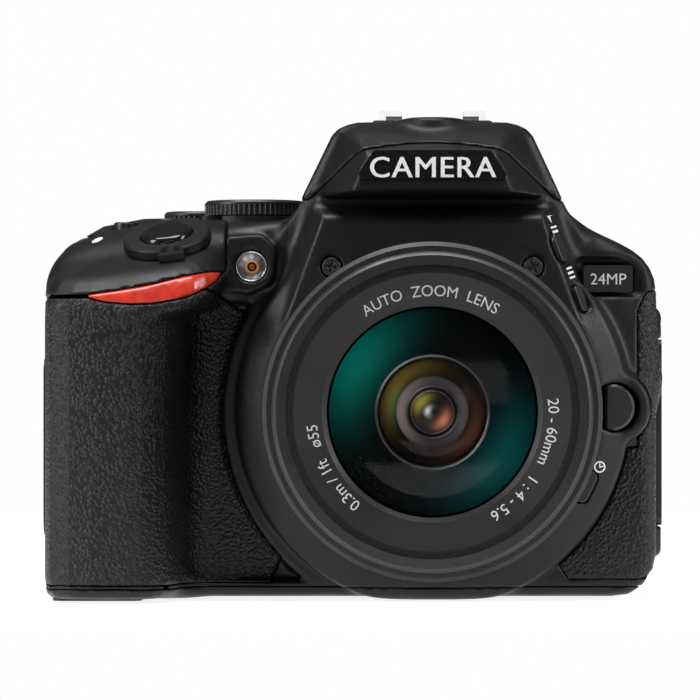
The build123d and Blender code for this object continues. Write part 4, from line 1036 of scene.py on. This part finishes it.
bolt = [(-1.5, 0.3), (0.2, 0.9), (-0.1, 0.1), (1.6, -0.1), (-0.1, -0.8), (0.1, -0.1)]
bars = [[(u0, -0.9), (u0, 0.9), (u1, 0.9), (u1, -0.9)] for u0, u1 in ((2.2, 2.6), (3.1, 3.6), (4.1, 4.5))]
long_hand = [(32.8, 26.1), (33.0, 26.1), (33.0, 27.0), (32.8, 27.0)]
short_hand = [(32.9, 26.0), (33.7, 26.3), (33.6, 26.5), (32.9, 26.2)]
printed("movie_mark", [oval(-66.6, 71.2, 1.15, 0.42, 24)])
printed("flash_marks", [flank_mark(mark, 75.7, 3.1) for mark in [bolt] + bars[:2]])
printed("function_marks", [flank_mark(mark, 67.6, 3.0) for mark in bars])
printed("timer_marks", circle_line(32.9, 26.2, 1.15, 0.28) + [long_hand, short_hand])


# ---------------------------------------------------------------- lettering
CAPITAL_HEIGHT = 0.73
INK = 0.03


def glyphs(text, height, bold=0.0):
    """Flat lettering, centred, in millimetres: points and faces. Bold letters are two copies, apart."""
    curve = bpy.data.curves.new("letters", "FONT")
    curve.body = text
    curve.size = height / CAPITAL_HEIGHT
    curve.space_character = 1 + bold
    curve.align_x = "CENTER"
    curve.resolution_u = 4
    letters = bpy.data.objects.new("letters", curve)
    bpy.context.scene.collection.objects.link(letters)
    graph = bpy.context.evaluated_depsgraph_get()
    mesh = bpy.data.meshes.new_from_object(letters.evaluated_get(graph))
    points = np.array([v.co for v in mesh.vertices])
    faces = [list(p.vertices) for p in mesh.polygons]
    bpy.data.objects.remove(letters)
    if bold:
        thicker = [[i + len(points) for i in face] for face in faces]
        points = np.concatenate([points - (bold, 0, 0), points + (bold, 0, 0.01)])
        faces += thicker
    return points, faces


def ring_text(name, text, centre_angle, height=2.1, radius=22.4):
    """Lettering bent round the lens on the name ring's cone, tops outward, clockwise from the top."""
    rim_radius, cone_width, cone_depth = 25.6, 5.2, 2.0
    points, faces = glyphs(text, height)
    angle = math.radians(centre_angle) + points[:, 0] / radius
    r = radius - height / 2 + points[:, 1]
    inward = rim_radius - np.minimum(r, rim_radius)
    y = limits("name_ring")[0][1] + cone_depth * inward / cone_width - INK
    bent = np.stack([np.sin(angle) * r, y, AXIS_Z + np.cos(angle) * r], 1)
    add_mesh(name, bent, faces, white_paint.material, "lens_front", False)


def flat_text(name, text, height, origin, up, bold=0.0):
    """Lettering on a flat face of the body, reading along x."""
    points, faces = glyphs(text, height, bold)
    points[:, 1] -= height / 2
    right, up = np.array(ALONG, float), np.array(up, float)
    placed = np.array(origin, float) + points @ np.array([right, up, np.cross(right, up)])
    add_mesh(name, placed, faces, white_paint.material, "body", False)


ring_text("ring_text_top", "AUTO  ZOOM  LENS", -1)
ring_text("ring_text_right", "20 - 60mm   1 : 4 - 5.6", 117)
ring_text("ring_text_left", "0.3m / 1ft   ø55", 241)
plate_up = (0, 0.206, 0.9785)
badge_front = limits("badge_plate")[0][1] - INK
flat_text("plate_text", "CAMERA", 4.35, (0, -26.3, 84.9), plate_up, 0.09)
flat_text("badge_text", "24MP", 2.3, (badge[0], badge_front, badge[2]), UP)


# ---------------------------------------------------------------- studio
LAMP_AIM = (0, -0.02, 0.05)
FLOOR_GAP = 0.0004
CAMERA_DISTANCE = 0.955


def softbox(name, place, size, power):
    """A rectangular lamp that faces the object."""
    light = bpy.data.lights.new(name, "AREA")
    light.shape = "RECTANGLE"
    light.size, light.size_y = size
    light.energy = power
    made = bpy.data.objects.new(name, light)
    made.location = place
    facing = Vector(LAMP_AIM) - Vector(place)
    made.rotation_euler = facing.to_track_quat("-Z", "Y").to_euler()
    bpy.context.scene.collection.objects.link(made)


floor_z = cad_low[2] - FLOOR_GAP
floor_corners = [(x, y, floor_z) for x, y in ((-0.5, -0.16), (0.5, -0.16), (0.5, 0.9), (-0.5, 0.9))]
paper = Paint("pale_paper", rgb(0.5, 0.5, 0.5), 0.9, Emission_Color=rgb(1, 1, 1), Emission_Strength=0.85)
paper.tint(paper.noise(0.01), 0.99, 1.0)
floor_mesh = bpy.data.meshes.new("floor")
floor_mesh.from_pydata(floor_corners, [], [(0, 1, 2, 3)])
floor_mesh.materials.append(paper.material)
floor = bpy.data.objects.new("floor", floor_mesh)
bpy.context.scene.collection.objects.link(floor)

softbox("left_box", (-0.75, -0.35, 0.35), (0.22, 0.6), 5)
softbox("right_box", (0.8, -0.25, 0.35), (0.2, 0.6), 4.5)
softbox("top_box", (-0.05, -0.12, 0.85), (0.8, 0.3), 8.5)
softbox("low_fill", (0.15, -1.3, 0.25), (0.8, 0.3), 0.8)

# The camera sees a white surround, which lights the object only faintly.
world = bpy.data.worlds.new("studio")
world.use_nodes = True
surround = world.node_tree.nodes["Background"]
surround.inputs["Color"].default_value = rgb(1, 1, 1)
path = world.node_tree.nodes.new("ShaderNodeLightPath")
level = world.node_tree.nodes.new("ShaderNodeMapRange")
level.inputs["To Min"].default_value = 0.09
level.inputs["To Max"].default_value = 1.0
world.node_tree.links.new(path.outputs["Is Camera Ray"], level.inputs["Value"])
world.node_tree.links.new(level.outputs["Result"], surround.inputs["Strength"])
bpy.context.scene.world = world

lens = bpy.data.cameras.new("camera")
lens.sensor_width = 36
lens.lens = 244.903
lens.shift_x = -0.1177
lens.shift_y = 0.0886
camera = bpy.data.objects.new("camera", lens)
camera.location = (0, -CAMERA_DISTANCE, AXIS_Z * 0.001)
camera.rotation_euler = (math.pi / 2, 0, 0)
bpy.context.scene.collection.objects.link(camera)
bpy.context.scene.camera = camera
bpy.context.scene.view_settings.view_transform = "Standard"
